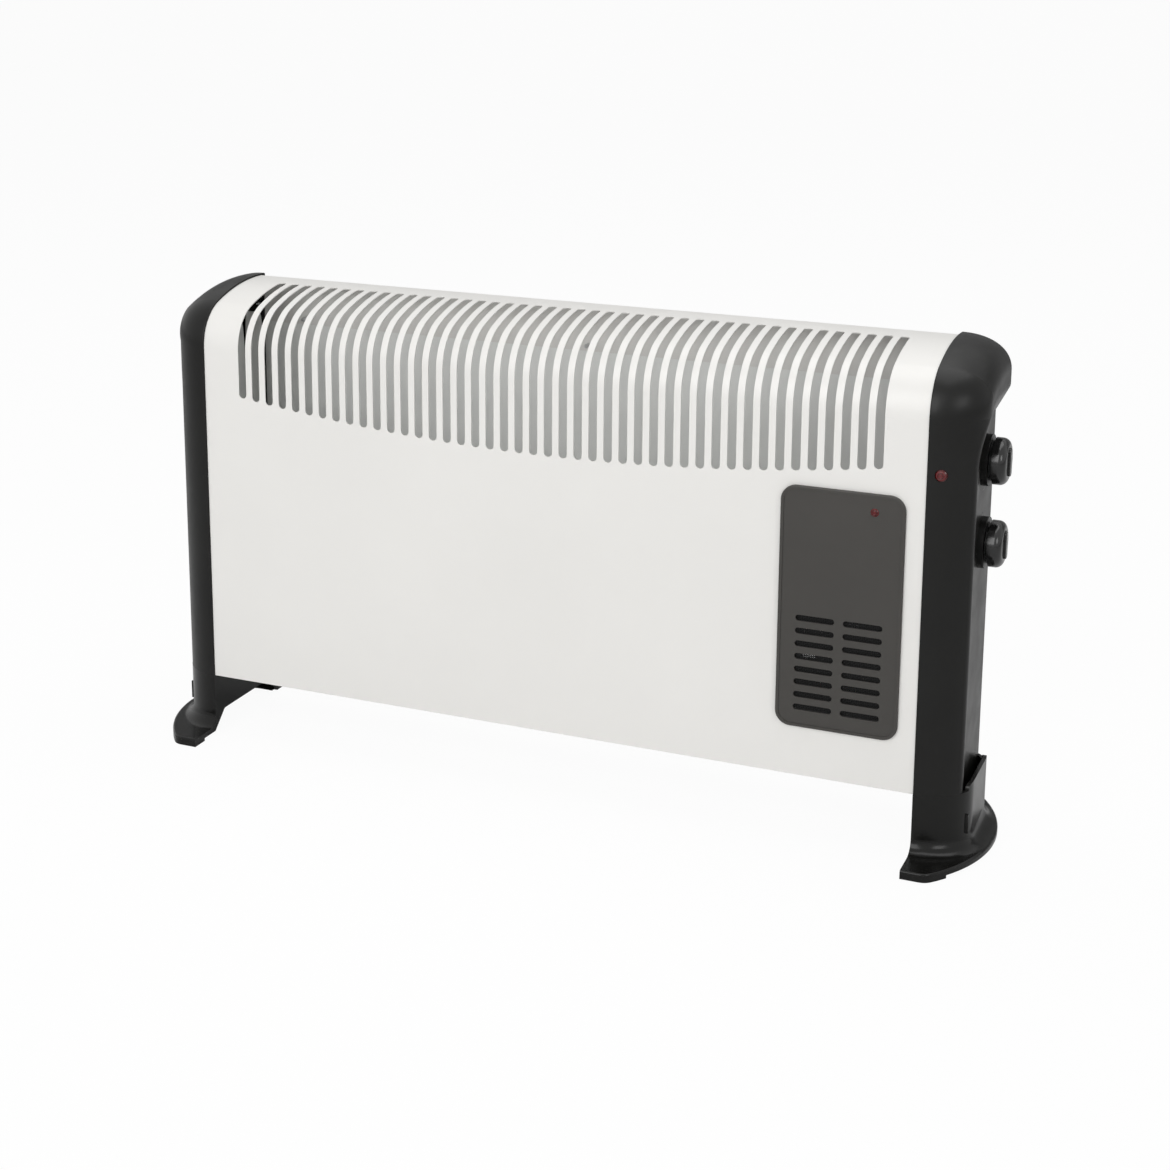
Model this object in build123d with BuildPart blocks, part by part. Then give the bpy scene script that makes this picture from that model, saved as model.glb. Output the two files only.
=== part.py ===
from build123d import *
from math import acos, cos, degrees, radians, sin, sqrt
import os

os.makedirs("parts", exist_ok=True)

# A free-standing convector heater, in millimetres.
# X is across the front, the front faces -Y, Z is up from the floor, and the origin is on the
# floor under the middle of the body.

# Steel case
panel_width = 624.0        # white steel seen between the two end caps
case_tuck = 9.0            # steel that runs on into each end cap
body_depth = 100.0
floor_gap = 54.0           # floor to the lower edge of the case
front_height = 295.0       # upright part of the front
front_bend = 38.0          # radius of the bend at the top of the front
front_turn = 69.0          # degrees that the front bend turns
top_bend = 175.0           # radius of the nearly flat top
rear_bend = 6.0
lip_drop = 36.0            # case lip that hangs down the back
bottom_flange = 12.0       # case flange that turns in under the front
sheet = 0.8
back_sheet = 0.7
hole_clearance = 0.15      # radial room round screws and pins in sheet

# Slots in the case
slot_count = 44
slot_pitch = 12.8
slot_width = 7.2
slot_low = 234.0           # lowest slot end above the case's lower edge
slot_arc = 1900.0          # radius of the curve that the slots' lower ends follow
slot_reach = 72.0          # how far behind the front the slots end on top

# End caps
cap_width = 40.0           # widest reach of a cap beyond the white steel
cap_lip = 1.5              # how far a cap stands proud of the steel
lip_round = 0.9
front_rim_depth = 33.0     # where the rounded rim meets the cap's side, behind the front
top_rim_depth = 25.0       # the same below the top
front_fullness = 0.50
top_fullness = 0.60
rim_depth = 36.0
cap_wall = 3.0
recess_depth = 9.5         # control recess below the cap's widest face
recess_front = 26.0        # recess edge behind the front, at the recess floor
recess_top = 286.0         # recess top above the case's lower edge, at the recess floor
recess_corner = 32.0
recess_flare_side = 10.0   # how far the recess mouth moves forward
recess_flare_top = 20.0    # how far the recess mouth moves up
hood_round = 8.0           # rounding of the hood's edge over the recess
recess_rear_round = 8.0
crown_rear_round = 1.5
groove_clearance = 0.1
spigot_length = 18.0       # part of the cap that reaches into the foot

# Feet
foot_wall = 3.0
foot_deck = 4.0            # floor of the pocket that takes the cap's spigot
flange_height = 7.0
flange_arc = 120.0         # radius of the foot's outer edge, seen from above
flange_reach = 55.0        # widest reach of a foot beyond the white steel
toe_reach = 35.0           # toe in front of the case
toe_outer_corner = 12.0
foot_sweep = 11.0          # fillet between the upright and the flange
foot_edge_round = 1.6
arch_height = 18.5
arch_span = 73.0
relief_height = 2.5        # gap under the foot between its toe and its heel
pad_length = 15.0
side_rim_rise = 5.0        # extra height of the foot's rim beside the recess
rear_corner = 24.0
rear_proud = 2.2           # back of the caps and feet behind the back of the case

# Fan cover
cover_centre = 249.4
cover_width = 97.0
cover_low = 41.0           # lower edge of the cover above the case's lower edge
cover_height = 194.0
cover_corner = 12.0
cover_thickness = 3.0
cover_wall = 1.4
cover_rim = 2.6
cover_field = 0.6          # how far the cover's field lies below its rim
vent_rows = 8
vent_pitch = 10.36
vent_height = 4.8
vent_length = 30.8
vent_gap = 37.6            # middle of one column of vents to the middle of the other
vent_low = 57.4            # lowest vent above the case's lower edge

# Lamps
lamp_height = 254.4        # power lamp above the case's lower edge
lamp_across = 10.5         # power lamp outward from the white steel
power_lamp_radius = 4.6
fan_lamp_radius = 3.2
fan_lamp_across = 24.9     # fan lamp from the middle of the cover
fan_lamp_drop = 14.2       # fan lamp below the cover's top edge
lamp_seat = -0.2           # edge of the power lamp's dome, in front of the steel
lamp_length = 15.0
lamp_clearance = 0.1

# Controls
knob_height = 253.5        # thermostat axis above the case's lower edge
knob_spacing = 65.5
knob_setback = 62.0        # knob axes behind the front
knob_radius = 18.2
knob_neck_radius = 15.8
knob_thickness = 10.6
knob_neck = 2.2
knob_round = 6.0
knob_wall = 2.2
grip_width = 7.0
grip_height = 1.6
boss_height = 5.0
boss_radius = 20.0
boss_bore = 13.0
knob_gap = 0.6
spindle_radius = 3.0
spindle_clearance = 0.06
bush_radius = 4.8
bush_length = 6.5
bush_thread = 1.1          # bush thread seen beyond the nut
nut_flats = 14.0
nut_thickness = 2.4
thermostat_size = (22.0, 38.0, 34.0)
switch_size = (24.0, 30.0, 32.0)
tab_size = (8.0, 6.3, 0.8)

# Elements
element_left = -290.0
element_right = 160.0
element_height = 60.0      # lower element above the case's lower edge
element_spacing = 62.0
arm_length = 56.0
arm_thickness = 1.8
barb_length = 13.0
core_radius = 7.0
rod_radius = 4.0
rod_overhang = 20.0
pin_radius = 1.5
pin_length = 9.0
bush_clearance = 0.1
ceramic_radius = 7.0
ceramic_flange = 10.0
ceramic_flange_thickness = 3.0
ceramic_length = 9.0
bracket_gap = 8.0
bracket_sheet = 1.0
bracket_flange = 12.0
bracket_low = 16.0         # bracket above the case's lower edge
bracket_height = 156.0
shield_setback = 12.0      # heat shield behind the front sheet
shield_sheet = 0.6
cutout_radius = 8.5
cutout_thickness = 7.0

# Fan
fan_height = 93.7          # fan axis above the case's lower edge
shroud_size = 82.0
shroud_flange = 2.0
shroud_bore = 38.5
shroud_wall = 1.6
shroud_depth = 29.0
strut_width = 6.0
strut_thickness = 3.0
mount_radius = 18.0
hub_radius = 13.0
hub_length = 16.0
hub_inset = 7.0            # hub's front face behind the steel
wheel_radius = 36.8
blade_count = 7
blade_thickness = 1.3
root_chord = 15.0
tip_chord = 24.0
root_pitch = 48.0
tip_pitch = 28.0
shaft_radius = 2.0
shaft_clearance = 0.05
rotor_radius = 11.5
rotor_gap = 0.5
stator_width = 46.0
stator_height = 54.0
stator_depth = 16.0
stator_drop = 9.0
stator_window = 26.0
stator_window_height = 13.0
stator_leg = 8.0
coil_wall = 4.4
bridge_width = 12.0
bridge_sheet = 2.0
bridge_foot = 3.0
bearing_radius = 5.0

# Back and base
inlet_rows = 4
inlet_columns = 12
inlet_length = 34.0
inlet_height = 6.0
inlet_pitch_across = 46.0
inlet_pitch_up = 14.0
inlet_low = 34.0
base_slot_rows = 2
base_slot_columns = 16
base_slot_length = 24.0
base_slot_width = 7.0
base_slot_pitch = 34.0
base_upturn = 13.0

# Screws
screw_radius = 1.75
screw_head = 3.6
screw_head_height = 2.2
screw_recess = 3.6          # span of the cross in a screw head
screw_recess_width = 0.8
screw_recess_depth = 1.1
sheet_screw_length = 9.0
base_screw_length = 6.0
foot_screw_length = 16.0
boss_wall = 2.6
back_screw_across = 270.0
base_screw_across = 200.0
base_screw_setback = 7.0
cap_screw_across = 4.5     # cap screws outward from the white steel
cap_screw_heights = (46.0, 176.0, 316.0)
foot_screw_spacing = 44.0
foot_screw_across = 17.5

# Cable inlet, terminal block and leads
inlet_bush_radius = 7.0
inlet_bush_bore = 3.8
inlet_bush_flange = 9.0
inlet_bush_lip = 2.0
inlet_bush_height = 30.0   # above the case's lower edge
inlet_bush_across = 17.0
block_size = (18.0, 16.0, 34.0)
block_height = 66.0
block_screw = 3.0
lead_radius = 1.3
lead_bend = 4.0
wire_entry = 4.0
wire_pitch = 11.0
motor_pin = 6.0            # leads to the coil, each side of the fan's axis
cutout_pin = 4.5           # cut-out terminals above and below its middle
left_jumper = 9.0          # how far the far-end lead runs out beyond the element pins
live_run_x = 296.0         # where leads run up and down beside the controls
linked_run_x = 290.0
fan_run_x = 299.0
element_run_x = 298.0
motor_run_x = 285.0        # where leads turn off towards the fan motor, above the shroud
motor_turn_x = 275.0
neutral_run_x = 205.0      # where leads turn off towards the cut-out and the elements
cutout_turn_x = 196.0
cutout_run_x = 198.0
lower_turn_x = 206.0
lower_end_x = 200.0
motor_run_y = 20.0
fan_run_y = 16.0
lower_run_y = 27.0
lower_run_drop = 14.0      # below the lower element
lamp_run_y = -21.0         # the two lamp leads, one behind the other
lamp_back_y = -26.0
lamp_run_drop = 18.0

# Smaller details
cap_step = 16.5            # where the hollow of a cap gets shallower
cap_skin = 3.8
cap_deep_skin = 13.0
cap_inner_rear = 2.8       # rear wall of a cap, in front of the back of the case
bend_steps = 6
spigot_gap = 0.25
spigot_wall = 2.5
spigot_front = 17.0
side_rim_front = 23.5      # rim beside the recess, behind the front
side_rim_length = 64.5
clip_across = 87.0
clip_up = 154.0
clip_thickness = 2.0
clip_height = 8.4
clip_barb = 0.7
clip_length = 3.6
lamp_dome = 1.6
lamp_collar = 0.9
lamp_pin = 0.6
lamp_pin_length = 4.0
terminal_height = 8.0
thermostat_terminals = ((-10, 8), (-10, -8))
selector_terminals = ((-8, -9), (0, 9), (8, -9))
cutout_terminal_gap = 9.0
spindle_start = 15.0       # inner end of a spindle, inside the cap's wall
spindle_room = 1.0
flat_room = 0.6            # flat on a spindle starts this far outside its bush
flat_share = 0.62
stem_room = 0.8
grip_margin = 2.0
knob_edge_round = 0.8
arch_bevel = 45.0
arch_corner = 3.0
rib_inner = 5.0            # ribs under a foot, each side of the middle of a screw
rib_outer = 7.0
bracket_hole = 6.0
bracket_hole_across = 26.0
bracket_low_hole_across = -24.0
bracket_low_hole_up = 12.0
barb_width = 1.2
inner_barb_share = 0.28
outer_barb_share = 0.42
cutout_y = 26.0
cutout_plate = 12.0
vent_frame = 2.0           # fan opening beyond the outer ends of the vents
vent_frame_corner = 4.0
lamp_hole_room = 0.4
clip_room = 0.4
blade_camber = 0.10

# Places worked out from the sizes above
edge_x = panel_width / 2
case_half = edge_x + case_tuck
front_y = -body_depth / 2
rear_y = body_depth / 2
base_z = floor_gap
bend_z = base_z + front_height
bend_y = front_y + front_bend
turn = radians(front_turn)
top_centre_y = bend_y + (top_bend - front_bend) * cos(turn)
top_centre_z = bend_z - (top_bend - front_bend) * sin(turn)
lip_low_z = top_centre_z + top_bend - rear_bend - lip_drop
back_high_z = lip_low_z + lip_drop - rear_bend - 4
inner_front_y = front_y + sheet
base_half = edge_x - 1
base_front_y = front_y + sheet + 2
cap_rear_y = rear_y + rear_proud
cap_inner_rear_y = rear_y - cap_inner_rear
recess_x = edge_x + cap_width - recess_depth
inner_wall_x = recess_x - cap_wall
pocket_low_z = base_z - spigot_length
knob_y = front_y + knob_setback
thermostat_z = base_z + knob_height
selector_z = thermostat_z - knob_spacing
cover_low_z = base_z + cover_low
cover_high_z = cover_low_z + cover_height
cover_mid_z = (cover_low_z + cover_high_z) / 2
cover_field_y = front_y - cover_thickness + cover_field
vent_mid_z = base_z + vent_low + vent_pitch * (vent_rows - 1) / 2
fan_z = base_z + fan_height
fan_lamp_x = cover_centre + fan_lamp_across
fan_lamp_z = cover_high_z - fan_lamp_drop
power_lamp_x = edge_x + lamp_across
power_lamp_z = base_z + lamp_height
power_lamp_y = front_y + lamp_seat
lower_z = base_z + element_height
upper_z = lower_z + element_spacing
left_bracket_x = element_left - bracket_gap
right_bracket_x = element_right + bracket_gap
back_screw_high_z = lip_low_z + 5
back_screw_low_z = base_z + 8
base_screw_y = front_y + base_screw_setback
cap_screw_x = edge_x + cap_screw_across
cap_screw_zs = [base_z + height for height in cap_screw_heights]
foot_screw_x = edge_x + foot_screw_across
inlet_x = edge_x + inlet_bush_across
inlet_z = base_z + inlet_bush_height
spider_y = inner_front_y + shroud_depth
front_bridge_y = spider_y + strut_thickness
stator_front_y = front_bridge_y + bridge_sheet + bridge_foot
stator_back_y = stator_front_y + stator_depth
rear_bridge_y = stator_back_y + bridge_foot


# Shared outlines

def on_front_bend(angle, inset):
    """Point on the front bend in the side view, angle from the upright front."""
    radius = front_bend - inset
    return (bend_y - radius * cos(radians(angle)), bend_z + radius * sin(radians(angle)))


def on_top(angle, inset):
    """Point on the top in the side view, angle counted on from the front bend."""
    radius = top_bend - inset
    return (top_centre_y - radius * cos(radians(angle)), top_centre_z + radius * sin(radians(angle)))


def side_face(inset, rear, base, corner=0.0, mode=Mode.ADD):
    """Closed side view of the case, moved in by inset, with its top rear corner rounded."""
    radius = top_bend - inset
    corner_y = rear - corner
    corner_z = top_centre_z + sqrt((radius - corner) ** 2 - (corner_y - top_centre_y) ** 2)
    last = degrees(acos((top_centre_y - corner_y) / (radius - corner)))
    with BuildLine() as outline:
        Line((front_y + inset, base), on_front_bend(0, inset))
        ThreePointArc(on_front_bend(0, inset), on_front_bend(front_turn / 2, inset),
                      on_front_bend(front_turn, inset))
        ThreePointArc(on_top(front_turn, inset), on_top((front_turn + last) / 2, inset), on_top(last, inset))
        if corner > 0:
            middle = radians((last + 180) / 2)
            ThreePointArc(on_top(last, inset),
                          (corner_y - corner * cos(middle), corner_z + corner * sin(middle)),
                          (rear, corner_z))
        Polyline((rear, corner_z), (rear, base), (front_y + inset, base))
    make_face(outline.edges(), mode=mode)


def crown_curve(crest, side, fullness):
    """Rounded rim from its crest outward to the cap's side: across, then depth."""
    Bezier(crest, (crest[0] + fullness * (side[0] - crest[0]), crest[1]),
           (side[0], side[1] - fullness * (side[1] - crest[1])), side)


def rim_section(turn_depth, fullness):
    """Closed section of the band that carries the rounded rim, with a lip beside the steel."""
    start = (0, lip_round - cap_lip)
    with BuildLine() as outline:
        ThreePointArc(start, (lip_round * (1 - sqrt(0.5)), lip_round * (1 - sqrt(0.5)) - cap_lip),
                      (lip_round, -cap_lip))
        crown_curve((lip_round, -cap_lip), (cap_width, turn_depth), fullness)
        Polyline((cap_width, turn_depth), (cap_width, rim_depth), (0, rim_depth), start)
    make_face(outline.edges())


def rim_plane(angle):
    """Plane across the front bend at an angle from the upright front."""
    point = on_front_bend(angle, 0)
    return Plane(origin=(edge_x, point[0], point[1]), x_dir=(1, 0, 0),
                 z_dir=(0, sin(radians(angle)), cos(radians(angle))))


def back_plane(across, rear, height):
    """Plane that faces the front from a point at the back, for screws driven in from behind."""
    return Plane(origin=(across, rear, height), x_dir=(1, 0, 0), z_dir=(0, -1, 0))


def front_plane(across, depth, height):
    """Plane that faces the back from a point in front, for lamps pushed in from the front."""
    return Plane(origin=(across, depth, height), x_dir=(1, 0, 0), z_dir=(0, 1, 0))


def box(low, high, mode=Mode.ADD):
    """Upright block between two opposite corners."""
    size = [b - a for a, b in zip(low, high)]
    with Locations(low):
        Box(*size, align=(Align.MIN, Align.MIN, Align.MIN), mode=mode)


def screw(length):
    """A pan-head screw along +Z with its seat at 0."""
    tip = 0.4 * screw_radius
    with BuildPart() as body:
        with BuildSketch(Plane.XZ):
            with BuildLine():
                Polyline((0, length), (tip, length), (screw_radius, length - 2.5), (screw_radius, 0),
                         (screw_head, 0), (screw_head, -0.45 * screw_head_height),
                         (0.66 * screw_head, -screw_head_height), (0, -screw_head_height), close=True)
            make_face()
        revolve(axis=Axis.Z)
        with BuildSketch(Plane.XY.offset(-screw_head_height - 1)):
            Rectangle(screw_recess, screw_recess_width)
            Rectangle(screw_recess_width, screw_recess)
        extrude(amount=1 + screw_recess_depth, mode=Mode.SUBTRACT)
    return body.part


def lamp(radius, wall):
    """Neon lamp along +Z: domed lens at 0, collar behind a wall, barrel and two pins."""
    with BuildPart() as body:
        with BuildSketch(Plane.XZ):
            with BuildLine():
                ThreePointArc((0, -lamp_dome), (0.7 * radius, -0.55 * lamp_dome), (radius, 0))
                Polyline((radius, 0), (radius, wall), (radius + lamp_collar, wall),
                         (radius + lamp_collar, wall + lamp_collar), (radius, wall + lamp_collar),
                         (radius, lamp_length), (0, lamp_length), (0, -lamp_dome))
            make_face()
        revolve(axis=Axis.Z)
        with BuildSketch(Plane.XY.offset(lamp_length)):
            with GridLocations(radius, 0, 2, 1):
                Circle(lamp_pin)
        extrude(amount=lamp_pin_length)
    return body.part


sheet_screw = screw(sheet_screw_length)
foot_screw = screw(foot_screw_length)
base_screw = screw(base_screw_length)
fan_neon = lamp(fan_lamp_radius, cover_wall)
power_neon = lamp(power_lamp_radius, front_y + cap_skin - power_lamp_y)


# Front case: one sheet from under the front, up, over the top and down the back

with BuildPart() as front_case:
    with BuildSketch(Plane.YZ.offset(-case_half)):
        side_face(0, rear_y, base_z, rear_bend)
    extrude(amount=2 * case_half)
    with BuildSketch(Plane.YZ.offset(-case_half)):
        side_face(sheet, rear_y - sheet, base_z + sheet, rear_bend - sheet)
    extrude(amount=2 * case_half, mode=Mode.SUBTRACT)
    # The bottom is open behind its flange, and the back is open below its lip.
    box((-case_half, front_y + bottom_flange, base_z - 1), (case_half, rear_y + 1, base_z + 2), Mode.SUBTRACT)
    box((-case_half, rear_y - 2 * sheet, base_z), (case_half, rear_y + 1, lip_low_z), Mode.SUBTRACT)
    # Slots, first seen from the front, then from above where the sheet has turned over.
    slot_high = top_centre_z + top_bend + slot_width
    with BuildSketch(Plane.XZ.offset(1 - front_y)):
        for number in range(slot_count):
            across = (number - (slot_count - 1) / 2) * slot_pitch
            low = base_z + slot_low + slot_arc - sqrt(slot_arc ** 2 - across ** 2)
            with Locations((across, (low + slot_high) / 2)):
                SlotOverall(slot_high - low, slot_width, rotation=90)
    extrude(amount=-0.92 * front_bend - 1, mode=Mode.SUBTRACT)
    with BuildSketch(Plane.XY.offset(bend_z + 0.2 * front_bend)):
        slot_start = front_y + 0.12 * front_bend
        slot_end = front_y + slot_reach
        with Locations((0, (slot_start + slot_end) / 2)):
            with GridLocations(slot_pitch, 0, slot_count, 1):
                SlotOverall(slot_end - slot_start, slot_width, rotation=90)
    extrude(amount=front_bend + 10, mode=Mode.SUBTRACT)
    # Fan opening, lamp hole and four clip holes behind the fan cover, notch for the power lamp.
    with BuildSketch(Plane.XZ.offset(1 - front_y)):
        with Locations((cover_centre, vent_mid_z)):
            RectangleRounded(vent_gap + vent_length + vent_frame,
                             vent_pitch * (vent_rows - 1) + vent_height + vent_frame, vent_frame_corner)
        with Locations((fan_lamp_x, fan_lamp_z)):
            Circle(fan_lamp_radius + lamp_collar + lamp_hole_room)
        with Locations((power_lamp_x, power_lamp_z)):
            Circle(power_lamp_radius + lamp_collar + lamp_hole_room)
        with Locations((cover_centre, cover_mid_z)):
            with GridLocations(clip_across, clip_up, 2, 2):
                Rectangle(clip_thickness + clip_room, clip_height + 1.5 * clip_room)
    extrude(amount=-3, mode=Mode.SUBTRACT)
    # Screw holes in the lip and in the flange.
    with BuildSketch(Plane.XZ.offset(-rear_y - 1)):
        with Locations((0, back_screw_high_z)):
            with GridLocations(back_screw_across, 0, 3, 1):
                Circle(screw_radius + hole_clearance)
        with Locations((0, cap_screw_zs[-1])):
            with GridLocations(2 * cap_screw_x, 0, 2, 1):
                Circle(screw_radius + hole_clearance)
    extrude(amount=4, mode=Mode.SUBTRACT)
    with BuildSketch(Plane.XY.offset(base_z - 1)):
        with Locations((0, base_screw_y)):
            with GridLocations(base_screw_across, 0, 3, 1):
                Circle(screw_radius + hole_clearance)
    extrude(amount=3, mode=Mode.SUBTRACT)
front_case.part.label = "front_case"

# Back panel: flat sheet over the case lip, with rows of air inlets

with BuildPart() as back_panel:
    with BuildSketch(Plane.XZ.offset(-rear_y)):
        with Locations((0, (base_z + back_high_z) / 2)):
            Rectangle(2 * case_half, back_high_z - base_z)
        with Locations((0, base_z + inlet_low + inlet_pitch_up * (inlet_rows - 1) / 2)):
            with GridLocations(inlet_pitch_across, inlet_pitch_up, inlet_columns, inlet_rows):
                SlotOverall(inlet_length, inlet_height, mode=Mode.SUBTRACT)
        with Locations((0, back_screw_high_z), (0, back_screw_low_z)):
            with GridLocations(back_screw_across, 0, 3, 1):
                Circle(screw_radius + hole_clearance, mode=Mode.SUBTRACT)
        with Locations(*[(0, height) for height in cap_screw_zs]):
            with GridLocations(2 * cap_screw_x, 0, 2, 1):
                Circle(screw_radius + hole_clearance, mode=Mode.SUBTRACT)
    extrude(amount=-back_sheet)
back_panel.part.label = "back_panel"

# Base grille: slotted bottom that lies on the case flange and turns up against the back

with BuildPart() as base_grille:
    with BuildSketch(Plane.YZ.offset(-base_half)):
        with BuildLine():
            Polyline((base_front_y, base_z + sheet), (rear_y, base_z + sheet),
                     (rear_y, base_z + sheet + base_upturn),
                     (rear_y - back_sheet, base_z + sheet + base_upturn),
                     (rear_y - back_sheet, base_z + sheet + back_sheet),
                     (base_front_y, base_z + sheet + back_sheet), close=True)
        make_face()
    extrude(amount=2 * base_half)
    with BuildSketch(Plane.XY.offset(base_z)):
        with Locations((0, bottom_flange / 2)):
            with GridLocations(base_slot_pitch, body_depth / 3, base_slot_columns, base_slot_rows):
                SlotOverall(base_slot_length, base_slot_width, rotation=90)
        with Locations((0, base_screw_y)):
            with GridLocations(base_screw_across, 0, 3, 1):
                Circle(screw_radius + hole_clearance)
    extrude(amount=4, mode=Mode.SUBTRACT)
    with BuildSketch(Plane.XZ.offset(-rear_y - 1)):
        with Locations((0, back_screw_low_z)):
            with GridLocations(back_screw_across, 0, 3, 1):
                Circle(screw_radius + hole_clearance)
    extrude(amount=4, mode=Mode.SUBTRACT)
base_grille.part.label = "base_grille"


# End caps: a rounded rim swept round the side view, filled, recessed and hollowed

def collar_plan(inset):
    """Plan of a foot's upright, flush with the cap above it, moved in by inset."""
    front = inset - cap_lip
    side = cap_width - inset
    heel = body_depth + rear_proud - inset
    corner = rear_corner - inset
    with BuildLine() as outline:
        Line((inset, front), (inset + lip_round, front))
        crown_curve((inset + lip_round, front), (side, front_rim_depth), front_fullness)
        Line((side, front_rim_depth), (side, heel - corner))
        RadiusArc((side, heel - corner), (side - corner, heel), -corner)
        Polyline((side - corner, heel), (inset, heel), (inset, front))
    make_face(outline.edges())


with BuildPart() as plain_cap:
    with BuildSketch(Plane((edge_x, front_y, base_z))):
        rim_section(front_rim_depth, front_fullness)
    extrude(amount=front_height)
    for step in range(bend_steps + 1):
        share = step / bend_steps
        with BuildSketch(rim_plane(share * front_turn)):
            rim_section(front_rim_depth + share * (top_rim_depth - front_rim_depth),
                        front_fullness + share * (top_fullness - front_fullness))
    loft()
    with BuildSketch(rim_plane(front_turn)):
        rim_section(top_rim_depth, top_fullness)
    revolve(axis=Axis((edge_x, top_centre_y, top_centre_z), (-1, 0, 0)), revolution_arc=180 - 2 * front_turn)
    with BuildSketch(Plane.YZ.offset(edge_x)):
        side_face(rim_depth - 1, cap_rear_y, base_z)
    extrude(amount=cap_width)
    split(bisect_by=Plane.XZ.offset(-cap_rear_y))
    # Recess for the controls: an arched floor whose mouth flares forward and up.
    for depth, forward, up in ((0, 0, 0), (recess_depth + 1, recess_flare_side, recess_flare_top)):
        with BuildSketch(Plane.YZ.offset(recess_x + depth)):
            with Locations((front_y + recess_front - forward, base_z - 1)):
                Rectangle(body_depth + 20, recess_top + up + 1, align=(Align.MIN, Align.MIN))
            fillet(vertices().group_by(Axis.X)[0].sort_by(Axis.Y)[-1], recess_corner + forward)
    loft(mode=Mode.SUBTRACT)
    mouth = edges().filter_by(lambda edge: edge.length > recess_corner / 2
                              and edge.center().X > recess_x + recess_depth / 2
                              and -recess_depth < edge.center().Z - base_z - recess_top < recess_flare_top)
    fillet(mouth, hood_round)
    rear_edges = faces().sort_by(Axis.Y)[-1].edges().filter_by(
        lambda edge: edge.center().X > edge_x + lip_round)
    fillet(rear_edges.filter_by(Axis.Z).sort_by(Edge.length)[-1], recess_rear_round)
    rear_edges = faces().sort_by(Axis.Y)[-1].edges()
    fillet(rear_edges.filter_by(lambda edge: edge.center().Z > base_z + recess_top
                                and edge.center().X > edge_x + case_tuck), crown_rear_round)
    # Hollow, in two steps that follow the rounded rim.
    for start, end, inset in ((-1, cap_step, cap_skin), (cap_step, inner_wall_x - edge_x, cap_deep_skin)):
        with BuildSketch(Plane.YZ.offset(edge_x + start)):
            side_face(inset, cap_inner_rear_y, base_z + cap_wall)
        extrude(amount=end - start, mode=Mode.SUBTRACT)
    # Groove that takes the edges of the case and of the back panel.
    with BuildSketch(Plane.YZ.offset(edge_x - 1)):
        side_face(-groove_clearance, rear_y + back_sheet + groove_clearance, base_z - 1, rear_bend)
        side_face(sheet + groove_clearance, rear_y - sheet - groove_clearance,
                  base_z + sheet + groove_clearance, rear_bend - sheet, mode=Mode.SUBTRACT)
    extrude(amount=case_tuck + 1 + groove_clearance, mode=Mode.SUBTRACT)
    # Spigot that drops into the foot, with two screw bosses.
    with BuildSketch(Plane((edge_x, front_y, pocket_low_z))):
        collar_plan(foot_wall + spigot_gap)
        with Locations((0, spigot_front)):
            Rectangle(recess_x - edge_x, body_depth, align=(Align.MIN, Align.MIN), mode=Mode.INTERSECT)
    extrude(amount=spigot_length)
    with BuildSketch(Plane((edge_x, front_y, pocket_low_z))):
        collar_plan(foot_wall + spigot_gap + spigot_wall)
        with Locations((0, spigot_front + spigot_wall)):
            Rectangle(recess_x - edge_x - spigot_wall, body_depth, align=(Align.MIN, Align.MIN),
                      mode=Mode.INTERSECT)
    extrude(amount=spigot_length, mode=Mode.SUBTRACT)
    with BuildSketch(Plane.XY.offset(pocket_low_z)):
        with Locations((foot_screw_x, 0)):
            with GridLocations(0, foot_screw_spacing, 1, 2):
                Circle(screw_radius + boss_wall)
    extrude(amount=spigot_length + cap_wall)
    with BuildSketch(Plane.XY.offset(pocket_low_z)):
        with Locations((foot_screw_x, 0)):
            with GridLocations(0, foot_screw_spacing, 1, 2):
                Circle(screw_radius + hole_clearance)
    extrude(amount=foot_screw_length, mode=Mode.SUBTRACT)
    # Holes for the screws from behind.
    with BuildSketch(Plane.XZ.offset(-cap_rear_y - 1)):
        with Locations(*[(cap_screw_x, height) for height in cap_screw_zs]):
            Circle(screw_radius + hole_clearance)
    extrude(amount=sheet_screw_length, mode=Mode.SUBTRACT)

with BuildPart() as left_end_cap:
    mirror(plain_cap.part, about=Plane.YZ)
left_end_cap.part.label = "left_end_cap"

with BuildPart() as right_end_cap:
    add(plain_cap.part)
    # Rings round the two control spindles, and the holes for their bushes.
    with BuildSketch(Plane.YZ.offset(recess_x)):
        with Locations((knob_y, thermostat_z), (knob_y, selector_z)):
            Circle(boss_radius)
            Circle(boss_bore, mode=Mode.SUBTRACT)
    extrude(amount=boss_height)
    with BuildSketch(Plane.YZ.offset(inner_wall_x - 1)):
        with Locations((knob_y, thermostat_z), (knob_y, selector_z)):
            Circle(bush_radius + hole_clearance)
    extrude(amount=cap_wall + 2, mode=Mode.SUBTRACT)
    # Power lamp hole in front, cable inlet behind.
    with BuildSketch(Plane.XZ.offset(5 - front_y)):
        with Locations((power_lamp_x, power_lamp_z)):
            Circle(power_lamp_radius + lamp_clearance)
    extrude(amount=-12, mode=Mode.SUBTRACT)
    with BuildSketch(Plane.XZ.offset(-cap_rear_y - 1)):
        with Locations((inlet_x, inlet_z)):
            Circle(inlet_bush_radius + hole_clearance)
    extrude(amount=10, mode=Mode.SUBTRACT)
right_end_cap.part.label = "right_end_cap"

# Feet: an upright under each cap, flared into a low flange that stands on its toe and heel

foot_rear_y = rear_y + toe_reach
side_rim_mid = front_y + side_rim_front + side_rim_length / 2
flange_mid_x = edge_x + flange_reach - flange_arc

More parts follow.
